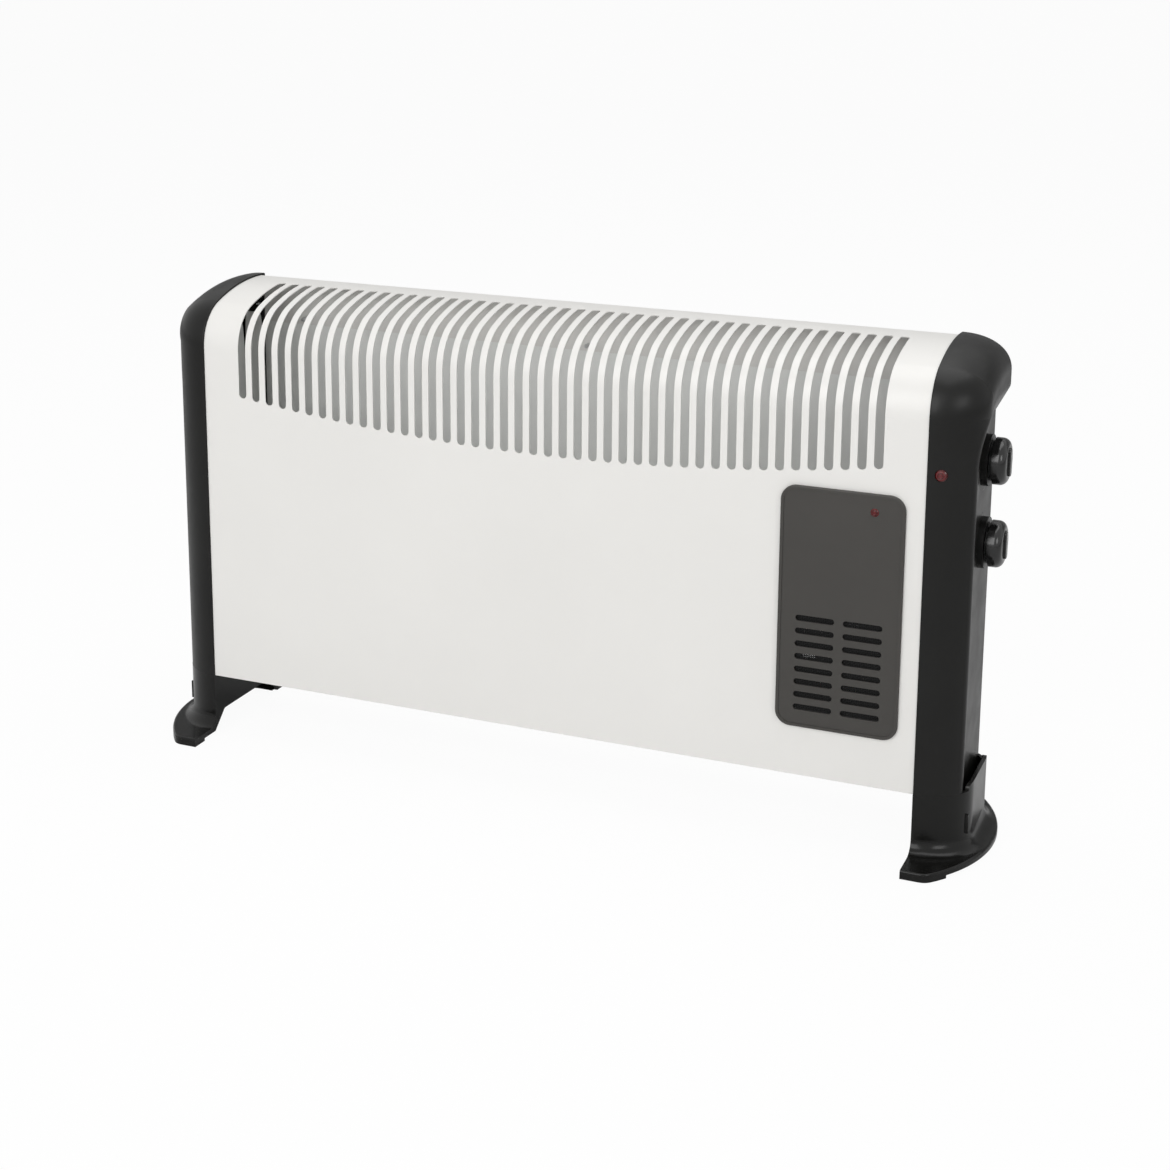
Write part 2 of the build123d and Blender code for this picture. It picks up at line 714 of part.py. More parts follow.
with BuildPart() as right_foot:
    # Flange on the floor, with its outer edge on a wide arc.
    with BuildSketch():
        with Locations((flange_mid_x, 0)):
            Circle(flange_arc)
        with Locations((edge_x, 0)):
            Rectangle(2 * flange_reach, 2 * foot_rear_y, align=(Align.MIN, Align.CENTER), mode=Mode.INTERSECT)
        fillet(vertices().group_by(Axis.X)[-1], toe_outer_corner)
    extrude(amount=flange_height)
    top_edges = faces().sort_by(Axis.Z)[-1].edges()
    fillet(top_edges.filter_by(lambda edge: edge.center().X > edge_x + 0.1), foot_edge_round)
    with BuildSketch(Plane((edge_x, front_y, 0))):
        collar_plan(0)
    extrude(amount=base_z + side_rim_rise)
    # Above the collar only the rim beside the recess stays.
    with BuildSketch(Plane.YZ.offset(edge_x - 1)):
        with Locations((0, base_z)):
            Rectangle(200, 20, align=(Align.CENTER, Align.MIN))
        with Locations((side_rim_mid, base_z)):
            RectangleRounded(side_rim_length, 2 * side_rim_rise, 0.9 * side_rim_rise, mode=Mode.SUBTRACT)
    extrude(amount=cap_width + 2, mode=Mode.SUBTRACT)
    box((edge_x - 1, front_y - 5, base_z), (edge_x + cap_width / 2, foot_rear_y, base_z + 20), Mode.SUBTRACT)
    upright_edges = faces().filter_by(Axis.Z).group_by(Axis.Z)[1].edges().filter_by(
        lambda edge: front_y - cap_lip - 0.1 < edge.center().Y < cap_rear_y + 0.1
        and edge_x + 0.1 < edge.center().X < edge_x + cap_width + 0.1)
    fillet(upright_edges, foot_sweep)
    # Pocket for the cap's spigot, and the hollow underside.
    with BuildSketch(Plane((edge_x, front_y, pocket_low_z))):
        collar_plan(foot_wall)
    extrude(amount=spigot_length + 20, mode=Mode.SUBTRACT)
    with BuildSketch(Plane((edge_x, front_y, -1))):
        collar_plan(foot_wall)
    extrude(amount=pocket_low_z - foot_deck + 1, mode=Mode.SUBTRACT)
    # Two ribs under the deck.
    for across in (-foot_screw_spacing / 2, foot_screw_spacing / 2):
        box((edge_x + 1, across - rib_outer, arch_height + 1),
            (edge_x + cap_width - 1, across - rib_inner, pocket_low_z - 1))
    # Arch through the inner wall, and the relief between toe and heel.
    with BuildSketch(Plane.YZ.offset(edge_x - 1)):
        with Locations((0, arch_height / 2 - 0.5)):
            Trapezoid(arch_span + 2 * arch_height + 2, arch_height + 1, arch_bevel)
        fillet(vertices().group_by(Axis.Y)[-1], arch_corner)
    extrude(amount=foot_wall + 1.5, mode=Mode.SUBTRACT)
    relief = foot_rear_y - pad_length
    box((edge_x - 1, -relief, -1), (edge_x + 2 * flange_reach, relief, relief_height), Mode.SUBTRACT)
    with BuildSketch(Plane.XY.offset(pocket_low_z - foot_deck - 1)):
        with Locations((foot_screw_x, 0)):
            with GridLocations(0, foot_screw_spacing, 1, 2):
                Circle(screw_radius + hole_clearance)
    extrude(amount=foot_deck + 2, mode=Mode.SUBTRACT)
right_foot.part.label = "right_foot"

with BuildPart() as left_foot:
    mirror(right_foot.part, about=Plane.YZ)
left_foot.part.label = "left_foot"

# Screws, each kind as one group

with BuildPart() as back_screws:
    with Locations(*[back_plane(across, rear_y + back_sheet, height)
                     for across in (-back_screw_across, 0, back_screw_across)
                     for height in (back_screw_low_z, back_screw_high_z)]):
        add(sheet_screw)
back_screws.part.label = "back_screws"

with BuildPart() as cap_screws:
    with Locations(*[back_plane(across, cap_rear_y, height)
                     for across in (-cap_screw_x, cap_screw_x) for height in cap_screw_zs]):
        add(sheet_screw)
cap_screws.part.label = "cap_screws"

with BuildPart() as base_screws:
    with Locations((0, base_screw_y, base_z)):
        with GridLocations(base_screw_across, 0, 3, 1):
            add(base_screw)
base_screws.part.label = "base_screws"

with BuildPart() as foot_screws:
    with Locations((-foot_screw_x, 0, pocket_low_z - foot_deck), (foot_screw_x, 0, pocket_low_z - foot_deck)):
        with GridLocations(0, foot_screw_spacing, 1, 2):
            add(foot_screw)
foot_screws.part.label = "foot_screws"

# Fan cover: rimmed plate with two columns of slots, held by four snap posts

with BuildPart() as fan_cover:
    with BuildSketch(Plane.XZ.offset(-front_y)):
        with Locations((cover_centre, cover_mid_z)):
            RectangleRounded(cover_width, cover_height, cover_corner)
    extrude(amount=cover_thickness)
    fillet(faces().sort_by(Axis.Y)[0].edges(), 0.8)
    with BuildSketch(Plane.XZ.offset(-cover_field_y)):
        with Locations((cover_centre, cover_mid_z)):
            RectangleRounded(cover_width - 2 * cover_rim, cover_height - 2 * cover_rim,
                             cover_corner - cover_rim)
    extrude(amount=2 * cover_field, mode=Mode.SUBTRACT)
    with BuildSketch(Plane.XZ.offset(-front_y)):
        with Locations((cover_centre, cover_mid_z)):
            RectangleRounded(cover_width - 2 * cover_rim, cover_height - 2 * cover_rim,
                             cover_corner - cover_rim)
    extrude(amount=cover_thickness - cover_field - cover_wall, mode=Mode.SUBTRACT)
    with BuildSketch(Plane.XZ.offset(-front_y)):
        with Locations((cover_centre, vent_mid_z)):
            with GridLocations(vent_gap, vent_pitch, 2, vent_rows):
                SlotOverall(vent_length, vent_height)
        with Locations((fan_lamp_x, fan_lamp_z)):
            Circle(fan_lamp_radius + lamp_clearance)
    extrude(amount=cover_thickness + 1, mode=Mode.SUBTRACT)
    post_start = cover_field_y + cover_wall
    grip = inner_front_y + 0.05
    end = front_y + clip_length
    with BuildSketch(*[Plane((cover_centre, 0, height - clip_height / 2))
                       for height in (cover_mid_z - clip_up / 2, cover_mid_z + clip_up / 2)]):
        for side in (-1, 1):
            middle = side * clip_across / 2
            out = middle + side * clip_thickness / 2
            back = middle - side * clip_thickness / 2
            with BuildLine():
                Polyline((back, post_start), (out, post_start), (out, grip), (out + side * clip_barb, grip),
                         (out, end), (back, end), close=True)
            make_face()
    extrude(amount=clip_height)
fan_cover.part.label = "fan_cover"

with BuildPart() as fan_lamp:
    with Locations(front_plane(fan_lamp_x, cover_field_y, fan_lamp_z)):
        add(fan_neon)
fan_lamp.part.label = "fan_lamp"

with BuildPart() as power_lamp:
    with Locations(front_plane(power_lamp_x, power_lamp_y, power_lamp_z)):
        add(power_neon)
power_lamp.part.label = "power_lamp"


# Controls

def spindle_outline(radius):
    """Round outline with a flat, shared by a spindle's end and its knob's bore."""
    Circle(radius)
    with Locations((0, radius * flat_share)):
        Rectangle(3 * radius, 2 * radius, align=(Align.CENTER, Align.MIN), mode=Mode.SUBTRACT)


knob_x = recess_x + boss_height + knob_gap
knob_face_x = knob_x + knob_neck + knob_thickness
spindle_start_x = inner_wall_x - spindle_start
spindle_end_x = knob_face_x - knob_wall - spindle_room


def round_knob(height):
    """Round knob on +X: neck, dished face with a grip bar, hollow behind, stem with a bore."""
    with BuildPart() as body:
        stem_start = recess_x + nut_thickness + bush_thread + stem_room
        with BuildSketch(Plane.YZ.offset(knob_x)):
            with Locations((knob_y, height)):
                Circle(knob_neck_radius)
        extrude(amount=knob_neck)
        with BuildSketch(Plane.YZ.offset(knob_x + knob_neck)):
            with Locations((knob_y, height)):
                Circle(knob_radius)
        extrude(amount=knob_thickness)
        fillet(faces().sort_by(Axis.X)[-1].edges(), knob_round)
        with BuildSketch(Plane.YZ.offset(knob_face_x - grip_height)):
            with Locations((knob_y, height)):
                SlotOverall(2 * (knob_radius - knob_round) - grip_margin, grip_width, rotation=90)
        extrude(amount=2 * grip_height)
        fillet(faces().sort_by(Axis.X)[-1].edges(), knob_edge_round)
        with BuildSketch(Plane.YZ.offset(knob_x)):
            with Locations((knob_y, height)):
                Circle(knob_neck_radius - knob_wall)
        extrude(amount=knob_face_x - knob_x - knob_wall, mode=Mode.SUBTRACT)
        with BuildSketch(Plane.YZ.offset(stem_start)):
            with Locations((knob_y, height)):
                Circle(2 * spindle_radius)
        extrude(amount=knob_face_x - knob_wall - stem_start)
        with BuildSketch(Plane.YZ.offset(stem_start)):
            with Locations((knob_y, height)):
                spindle_outline(spindle_radius)
        extrude(amount=spindle_end_x - stem_start, mode=Mode.SUBTRACT)
    return body.part


def control(size, height, terminals):
    """Control body against the inside of the recess, with its bush through the wall."""
    with BuildPart() as body:
        across, deep, tall = size
        with BuildSketch(Plane.YZ.offset(inner_wall_x - across)):
            with Locations((knob_y, height)):
                RectangleRounded(deep, tall, 2)
        extrude(amount=across)
        with BuildSketch(Plane.YZ.offset(inner_wall_x)):
            with Locations((knob_y, height)):
                Circle(bush_radius)
        extrude(amount=bush_length)
        with BuildSketch(Plane.YZ.offset(spindle_start_x)):
            with Locations((knob_y, height)):
                Circle(spindle_radius + spindle_clearance)
        extrude(amount=knob_x - spindle_start_x, mode=Mode.SUBTRACT)
        with BuildSketch(Plane.YZ.offset(inner_wall_x - across - terminal_height)):
            with Locations((knob_y, height)):
                with Locations(*terminals):
                    Rectangle(tab_size[1], tab_size[2])
        extrude(amount=terminal_height)
    return body.part


def spindle(height):
    """Spindle with a flat that starts outside the bush."""
    with BuildPart() as body:
        flat_start = recess_x + bush_length - cap_wall + flat_room
        with BuildSketch(Plane.YZ.offset(spindle_start_x)):
            with Locations((knob_y, height)):
                Circle(spindle_radius)
        extrude(amount=flat_start - spindle_start_x)
        with BuildSketch(Plane.YZ.offset(flat_start)):
            with Locations((knob_y, height)):
                spindle_outline(spindle_radius)
        extrude(amount=spindle_end_x - flat_start)
    return body.part


with BuildPart() as thermostat_knob:
    add(round_knob(thermostat_z))
thermostat_knob.part.label = "thermostat_knob"

with BuildPart() as selector_knob:
    add(round_knob(selector_z))
selector_knob.part.label = "selector_knob"

with BuildPart() as thermostat_spindle:
    add(spindle(thermostat_z))
thermostat_spindle.part.label = "thermostat_spindle"

with BuildPart() as selector_spindle:
    add(spindle(selector_z))
selector_spindle.part.label = "selector_spindle"

with BuildPart() as thermostat:
    add(control(thermostat_size, thermostat_z, thermostat_terminals))
thermostat.part.label = "thermostat"

with BuildPart() as selector_switch:
    add(control(switch_size, selector_z, selector_terminals))
selector_switch.part.label = "selector_switch"

with BuildPart() as control_nuts:
    with BuildSketch(Plane.YZ.offset(recess_x)):
        with Locations((knob_y, thermostat_z), (knob_y, selector_z)):
            RegularPolygon(nut_flats / 2, 6, major_radius=False)
            Circle(bush_radius, mode=Mode.SUBTRACT)
    extrude(amount=nut_thickness)
control_nuts.part.label = "control_nuts"

# Heating elements: finned bars with a rod that runs out at each end


def element(height):
    """Cross-shaped finned bar along X with barbs on its arms."""
    with BuildPart() as body:
        with BuildSketch(Plane.YZ.offset(element_left)):
            with Locations((0, height)):
                Circle(core_radius)
                Rectangle(arm_length, arm_thickness, rotation=45)
                Rectangle(arm_length, arm_thickness, rotation=-45)
                with PolarLocations(arm_length * inner_barb_share, 4, start_angle=45):
                    Rectangle(barb_width, barb_length)
                with PolarLocations(arm_length * outer_barb_share, 4, start_angle=45):
                    Rectangle(barb_width, 0.6 * barb_length)
        extrude(amount=element_right - element_left)
        with BuildSketch(Plane.YZ.offset(element_left - rod_overhang)):
            with Locations((0, height)):
                Circle(rod_radius)
        extrude(amount=element_right - element_left + 2 * rod_overhang)
        with BuildSketch(Plane.YZ.offset(element_left - rod_overhang - pin_length)):
            with Locations((0, height)):
                Circle(pin_radius)
        extrude(amount=element_right - element_left + 2 * (rod_overhang + pin_length))
    return body.part


with BuildPart() as upper_element:
    add(element(upper_z))
upper_element.part.label = "upper_element"

with BuildPart() as lower_element:
    add(element(lower_z))
lower_element.part.label = "lower_element"


def bracket(face_x, side):
    """Channel that carries the ends of both elements, its web's inner face at face_x."""
    with BuildPart() as body:
        web = sorted((face_x, face_x + side * bracket_sheet))
        wide = sorted((face_x, face_x + side * bracket_flange))
        low = base_z + bracket_low
        high = low + bracket_height
        box((web[0], inner_front_y, low), (web[1], rear_y, high))
        box((wide[0], inner_front_y, low), (wide[1], inner_front_y + bracket_sheet, high))
        box((wide[0], rear_y - bracket_sheet, low), (wide[1], rear_y, high))
        with BuildSketch(Plane.YZ.offset(web[0] - 1)):
            with Locations((0, lower_z), (0, upper_z)):
                Circle(ceramic_radius + bush_clearance)
            with Locations((bracket_hole_across, (lower_z + upper_z) / 2),
                           (bracket_low_hole_across, low + bracket_low_hole_up)):
                Circle(bracket_hole)
        extrude(amount=bracket_sheet + 2, mode=Mode.SUBTRACT)
    return body.part


with BuildPart() as left_element_bracket:
    add(bracket(left_bracket_x, -1))
left_element_bracket.part.label = "left_element_bracket"

with BuildPart() as right_element_bracket:
    add(bracket(right_bracket_x, 1))
right_element_bracket.part.label = "right_element_bracket"

with BuildPart() as element_bushes:
    for face_x, side in ((left_bracket_x, -1), (right_bracket_x, 1)):
        with BuildSketch(Plane.YZ.offset(face_x)):
            with Locations((0, lower_z), (0, upper_z)):
                Circle(ceramic_flange)
                Circle(rod_radius + bush_clearance, mode=Mode.SUBTRACT)
        extrude(amount=-side * ceramic_flange_thickness)
        with BuildSketch(Plane.YZ.offset(face_x)):
            with Locations((0, lower_z), (0, upper_z)):
                Circle(ceramic_radius)
                Circle(rod_radius + bush_clearance, mode=Mode.SUBTRACT)
        extrude(amount=side * (ceramic_length - ceramic_flange_thickness))
element_bushes.part.label = "element_bushes"

# Heat shield between the elements and the front, with ends bent back along the brackets

shield_y = inner_front_y + shield_setback
shield_low = base_z + bracket_low + 2
shield_high = shield_low + bracket_height - 4

with BuildPart() as heat_shield:
    box((left_bracket_x, shield_y, shield_low), (right_bracket_x, shield_y + shield_sheet, shield_high))
    for start, end in ((left_bracket_x, left_bracket_x + shield_sheet),
                       (right_bracket_x - shield_sheet, right_bracket_x)):
        box((start, shield_y, shield_low), (end, shield_y + 9, shield_high))
heat_shield.part.label = "heat_shield"

cutout_z = (lower_z + upper_z) / 2

with BuildPart() as thermal_cutout:
    plate_x = right_bracket_x + bracket_sheet
    with BuildSketch(Plane.YZ.offset(plate_x)):
        with Locations((cutout_y, cutout_z)):
            SlotOverall(2 * cutout_radius + cutout_plate, cutout_plate, rotation=90)
    extrude(amount=1)
    with BuildSketch(Plane.YZ.offset(plate_x)):
        with Locations((cutout_y, cutout_z)):
            Circle(cutout_radius)
    extrude(amount=cutout_thickness)
    with BuildSketch(Plane.YZ.offset(plate_x + cutout_thickness)):
        with Locations((cutout_y, cutout_z)):
            with GridLocations(0, cutout_terminal_gap, 1, 2):
                Rectangle(tab_size[1], tab_size[2])
    extrude(amount=terminal_height)
thermal_cutout.part.label = "thermal_cutout"

# Fan: shroud with its spider, wheel on a shaft, and a shaded-pole motor behind


def fan_plane(depth):
    """Plane across the fan's axis that faces the back."""
    return Plane(origin=(cover_centre, depth, fan_z), x_dir=(1, 0, 0), z_dir=(0, 1, 0))


with BuildPart() as fan_shroud:
    with BuildSketch(fan_plane(inner_front_y)):
        RectangleRounded(shroud_size, shroud_size, 4)
        Circle(shroud_bore, mode=Mode.SUBTRACT)
    extrude(amount=shroud_flange)
    with BuildSketch(fan_plane(inner_front_y)):
        Circle(shroud_bore + shroud_wall)
        Circle(shroud_bore, mode=Mode.SUBTRACT)
    extrude(amount=shroud_depth + strut_thickness)
    with BuildSketch(fan_plane(spider_y)):
        Circle(mount_radius)
        Rectangle(2 * shroud_bore + shroud_wall, strut_width, rotation=45)
        Rectangle(2 * shroud_bore + shroud_wall, strut_width, rotation=-45)
        Circle(bearing_radius + 0.5, mode=Mode.SUBTRACT)
    extrude(amount=strut_thickness)
fan_shroud.part.label = "fan_shroud"


def blade_section(radius, chord, pitch):
    """Thin curved section of a blade across its length, at a radius from the shaft."""
    slope = radians(pitch)
    section_plane = Plane(origin=(radius, 0, 0), x_dir=(0, cos(slope), sin(slope)), z_dir=(1, 0, 0))
    with BuildSketch(section_plane) as section:
        with BuildLine():
            ThreePointArc((-chord / 2, 0), (0, blade_camber * chord + blade_thickness), (chord / 2, 0))
            ThreePointArc((chord / 2, 0), (0, blade_camber * chord), (-chord / 2, 0))
        make_face()
    return section.sketch


with BuildPart() as blade:
    loft([blade_section(hub_radius - 1, root_chord, root_pitch),
          blade_section(wheel_radius + 1, tip_chord, tip_pitch)])

with BuildPart() as fan_wheel:
    hub_y = front_y + hub_inset
    with BuildSketch(fan_plane(hub_y)):
        Circle(hub_radius)
    extrude(amount=hub_length)
    fillet(faces().sort_by(Axis.Y)[0].edges(), 3)
    with Locations(fan_plane(hub_y + hub_length / 2)):
        with PolarLocations(0, blade_count):
            add(blade.part)
    with BuildSketch(fan_plane(hub_y - 2)):
        Circle(wheel_radius)
    extrude(amount=hub_length + 4, mode=Mode.INTERSECT)
    with BuildSketch(fan_plane(hub_y + 3)):
        Circle(hub_radius - 2)
    extrude(amount=hub_length, mode=Mode.SUBTRACT)
    with BuildSketch(fan_plane(hub_y + 3)):
        Circle(3 * shaft_radius)
    extrude(amount=hub_length - 4)
    with BuildSketch(fan_plane(hub_y + 2)):
        Circle(shaft_radius)
    extrude(amount=hub_length, mode=Mode.SUBTRACT)
fan_wheel.part.label = "fan_wheel"

with BuildPart() as fan_shaft:
    with BuildSketch(fan_plane(hub_y + 2)):
        Circle(shaft_radius)
    extrude(amount=rear_bridge_y + bridge_sheet + 4 - hub_y - 2)
    with BuildSketch(fan_plane(stator_front_y + rotor_gap)):
        Circle(rotor_radius)
    extrude(amount=stator_depth - 2 * rotor_gap)
fan_shaft.part.label = "fan_shaft"

with BuildPart() as motor_stator:
    with BuildSketch(fan_plane(stator_front_y)):
        with Locations((0, stator_drop)):
            Rectangle(stator_width, stator_height)
            fillet(vertices(), 3)
        Circle(rotor_radius + rotor_gap, mode=Mode.SUBTRACT)
        with Locations((0, stator_drop + stator_height / 2 - stator_leg - stator_window_height / 2)):
            Rectangle(stator_window, stator_window_height, mode=Mode.SUBTRACT)
    extrude(amount=stator_depth)
motor_stator.part.label = "motor_stator"

leg_mid = stator_drop + stator_height / 2 - stator_leg / 2

with BuildPart() as motor_coil:
    with BuildSketch(fan_plane(stator_front_y - coil_wall)):
        with Locations((0, leg_mid)):
            Rectangle(stator_window - 1, stator_leg + 2 * coil_wall)
    extrude(amount=stator_depth + 2 * coil_wall)
    fillet(edges().filter_by(Axis.X), 2.5)
    with BuildSketch(fan_plane(stator_front_y)):
        with Locations((0, leg_mid)):
            Rectangle(stator_window + 1, stator_leg)
    extrude(amount=stator_depth, mode=Mode.SUBTRACT)
motor_coil.part.label = "motor_coil"


def bridge(depth, side):
    """Bearing bridge: strip across the stack, bearing in its middle, a foot at each end."""
    with BuildPart() as body:
        with BuildSketch(fan_plane(depth)):
            SlotOverall(stator_width, bridge_width)
            Circle(1.4 * bearing_radius)
        extrude(amount=side * bridge_sheet)
        with BuildSketch(fan_plane(depth - side)):
            Circle(bearing_radius)
        extrude(amount=side * (bridge_sheet + 2))
        with BuildSketch(fan_plane(depth)):
            with GridLocations(stator_width - bridge_width, 0, 2, 1):
                Circle(0.3 * bridge_width)
        extrude(amount=-side * bridge_foot)
        with BuildSketch(fan_plane(depth - 5 * side)):
            Circle(shaft_radius + shaft_clearance)
        extrude(amount=side * 20, mode=Mode.SUBTRACT)
    return body.part


with BuildPart() as front_motor_bridge:
    add(bridge(front_bridge_y + bridge_sheet, -1))
front_motor_bridge.part.label = "front_motor_bridge"

with BuildPart() as rear_motor_bridge:
    add(bridge(rear_bridge_y, 1))
rear_motor_bridge.part.label = "rear_motor_bridge"

# Mains connection inside the right cap

block_x = edge_x + 2
block_y = cap_inner_rear_y - block_size[1]
block_z = base_z + block_height

with BuildPart() as terminal_block:
    box((block_x, block_y, block_z),
        (block_x + block_size[0], block_y + block_size[1], block_z + block_size[2]))
    block_middle = Plane(origin=(block_x + block_size[0] / 2, block_y, block_z + block_size[2] / 2),
                         x_dir=(1, 0, 0), z_dir=(0, -1, 0))
    fillet(edges().filter_by(Axis.Y), 1.5)
    with BuildSketch(block_middle):
        with GridLocations(9, wire_pitch, 2, 3):
            Circle(block_screw)
    extrude(amount=-3, mode=Mode.SUBTRACT)
    with BuildSketch(Plane.YZ.offset(block_x - 1)):
        with Locations((block_y + block_size[1] / 2, block_z + block_size[2] / 2)):
            with GridLocations(0, wire_pitch, 1, 3):
                Circle(lead_radius + 0.3)
    extrude(amount=1 + wire_entry, mode=Mode.SUBTRACT)
terminal_block.part.label = "terminal_block"

with BuildPart() as cable_inlet_bush:
    inlet_plane = back_plane(inlet_x, cap_rear_y + inlet_bush_lip, inlet_z)
    with BuildSketch(inlet_plane):
        Circle(inlet_bush_flange)
    extrude(amount=inlet_bush_lip)
    fillet(faces().sort_by(Axis.Y)[-1].edges(), 0.8)
    with BuildSketch(inlet_plane):
        Circle(inlet_bush_radius)
    extrude(amount=inlet_bush_lip + rear_proud + cap_inner_rear + 2)
    with BuildSketch(inlet_plane):
        Circle(inlet_bush_bore)
    extrude(amount=20, mode=Mode.SUBTRACT)
cable_inlet_bush.part.label = "cable_inlet_bush"


def lead(*points):
    """Round lead along straight runs with rounded bends."""
    with BuildPart() as body:
        with BuildLine() as path:
            FilletPolyline(*points, radius=lead_bend)
        with BuildSketch(Plane(origin=path.line @ 0, z_dir=path.line % 0)):
            Circle(lead_radius)
        sweep(path=path.line)
    return body.part


wire_y = block_y + block_size[1] / 2
neutral_z, return_z, live_z = [block_z + block_size[2] / 2 + wire_pitch * row for row in (-1, 0, 1)]
entry_x = block_x + wire_entry
thermostat_tab_x = inner_wall_x - thermostat_size[0] - terminal_height
selector_tab_x = inner_wall_x - switch_size[0] - terminal_height
pin_x = element_right + rod_overhang + pin_length
left_pin_x = element_left - rod_overhang - pin_length
cutout_tab_x = plate_x + cutout_thickness + terminal_height
coil_z = fan_z - leg_mid
coil_y = stator_back_y + coil_wall
fan_lamp_pin_y = cover_field_y + lamp_length + lamp_pin_length
power_lamp_pin_y = power_lamp_y + lamp_length + lamp_pin_length
fan_pin_x = [fan_lamp_x + side * fan_lamp_radius / 2 for side in (-1, 1)]
power_pin_x = [power_lamp_x + side * power_lamp_radius / 2 for side in (-1, 1)]
thermostat_pin_y = knob_y + thermostat_terminals[0][0]
thermostat_high_z, thermostat_low_z = [thermostat_z + up for _, up in thermostat_terminals]
selector_high_z = selector_z + selector_terminals[1][1]
selector_low_z = selector_z + selector_terminals[0][1]
selector_front_y = knob_y + selector_terminals[0][0]
selector_rear_y = knob_y + selector_terminals[2][0]
cutout_low_z, cutout_high_z = [cutout_z + side * cutout_pin for side in (-1, 1)]
motor_left_x, motor_right_x = [cover_centre + side * motor_pin for side in (-1, 1)]
lower_run_z = lower_z - lower_run_drop
mains_leads = (
    # Terminal block to the thermostat, and to the fan motor and the overheat cut-out.
    ((entry_x, wire_y, live_z), (live_run_x, wire_y, live_z), (live_run_x, wire_y, thermostat_low_z),
     (live_run_x, thermostat_pin_y, thermostat_low_z),
     (thermostat_tab_x, thermostat_pin_y, thermostat_low_z)),
    ((entry_x, wire_y, return_z), (motor_run_x, wire_y, return_z),
     (motor_turn_x, motor_run_y, coil_z + motor_pin), (motor_left_x, motor_run_y, coil_z),
     (motor_left_x, coil_y, coil_z)),
    ((entry_x, wire_y, neutral_z), (neutral_run_x, wire_y, neutral_z),
     (cutout_turn_x, cutout_y, cutout_low_z), (cutout_tab_x, cutout_y, cutout_low_z)),
)
control_leads = (
    # Thermostat to the selector, and the selector to the fan motor and the lower element.
    ((thermostat_tab_x, thermostat_pin_y, thermostat_high_z),
     (linked_run_x, thermostat_pin_y, thermostat_high_z), (linked_run_x, thermostat_pin_y, selector_high_z),
     (linked_run_x, knob_y, selector_high_z), (selector_tab_x, knob_y, selector_high_z)),
    ((selector_tab_x, selector_front_y, selector_low_z), (fan_run_x, selector_front_y, selector_low_z),
     (fan_run_x, fan_run_y, coil_z), (motor_right_x, fan_run_y, coil_z), (motor_right_x, coil_y, coil_z)),
    ((selector_tab_x, selector_rear_y, selector_low_z), (element_run_x, selector_rear_y, selector_low_z),
     (element_run_x, lower_run_y, lower_run_z), (lower_turn_x, lower_run_y, lower_run_z),
     (lower_end_x, 0, lower_z), (pin_x, 0, lower_z)),
)
element_leads = (
    # Overheat cut-out to the upper element, and the elements' far ends joined.
    ((cutout_tab_x, cutout_y, cutout_high_z), (cutout_run_x, cutout_y, cutout_high_z),
     (cutout_run_x, 0, upper_z), (pin_x, 0, upper_z)),
    ((left_pin_x, 0, upper_z), (left_pin_x - left_jumper, 0, upper_z), (left_pin_x - left_jumper, 0, lower_z),
     (left_pin_x, 0, lower_z)),
)
lamp_leads = (
    # Fan lamp to the power lamp.
    ((fan_pin_x[0], fan_lamp_pin_y, fan_lamp_z), (fan_pin_x[0], lamp_run_y, fan_lamp_z),
     (power_pin_x[0], lamp_run_y, power_lamp_z), (power_pin_x[0], power_lamp_pin_y, power_lamp_z)),
    ((fan_pin_x[1], fan_lamp_pin_y, fan_lamp_z), (fan_pin_x[1], lamp_back_y, fan_lamp_z),
     (power_pin_x[1], lamp_back_y, power_lamp_z - lamp_run_drop), (power_pin_x[1], lamp_back_y, power_lamp_z),
     (power_pin_x[1], power_lamp_pin_y, power_lamp_z)),
)
with BuildPart() as internal_wiring:
    for points in mains_leads + control_leads + element_leads + lamp_leads:
        add(lead(*points))
internal_wiring.part.label = "internal_wiring"

sub_parts = (front_case, back_panel, base_grille, left_end_cap, right_end_cap, left_foot, right_foot,
             back_screws, cap_screws, base_screws, foot_screws, fan_cover, fan_lamp, power_lamp,
             thermostat_knob, selector_knob, thermostat_spindle, selector_spindle, thermostat,
             selector_switch, control_nuts, upper_element, lower_element, left_element_bracket,
             right_element_bracket, element_bushes, heat_shield, thermal_cutout, fan_shroud, fan_wheel,
             fan_shaft, motor_stator, motor_coil, front_motor_bridge, rear_motor_bridge, terminal_block,
             cable_inlet_bush, internal_wiring)
for sub_part in sub_parts:
    export_step(sub_part.part, "parts/" + sub_part.part.label + ".step")
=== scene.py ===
from math import cos, pi, radians, sin

import bpy
import numpy as np
from mathutils import Matrix, Vector


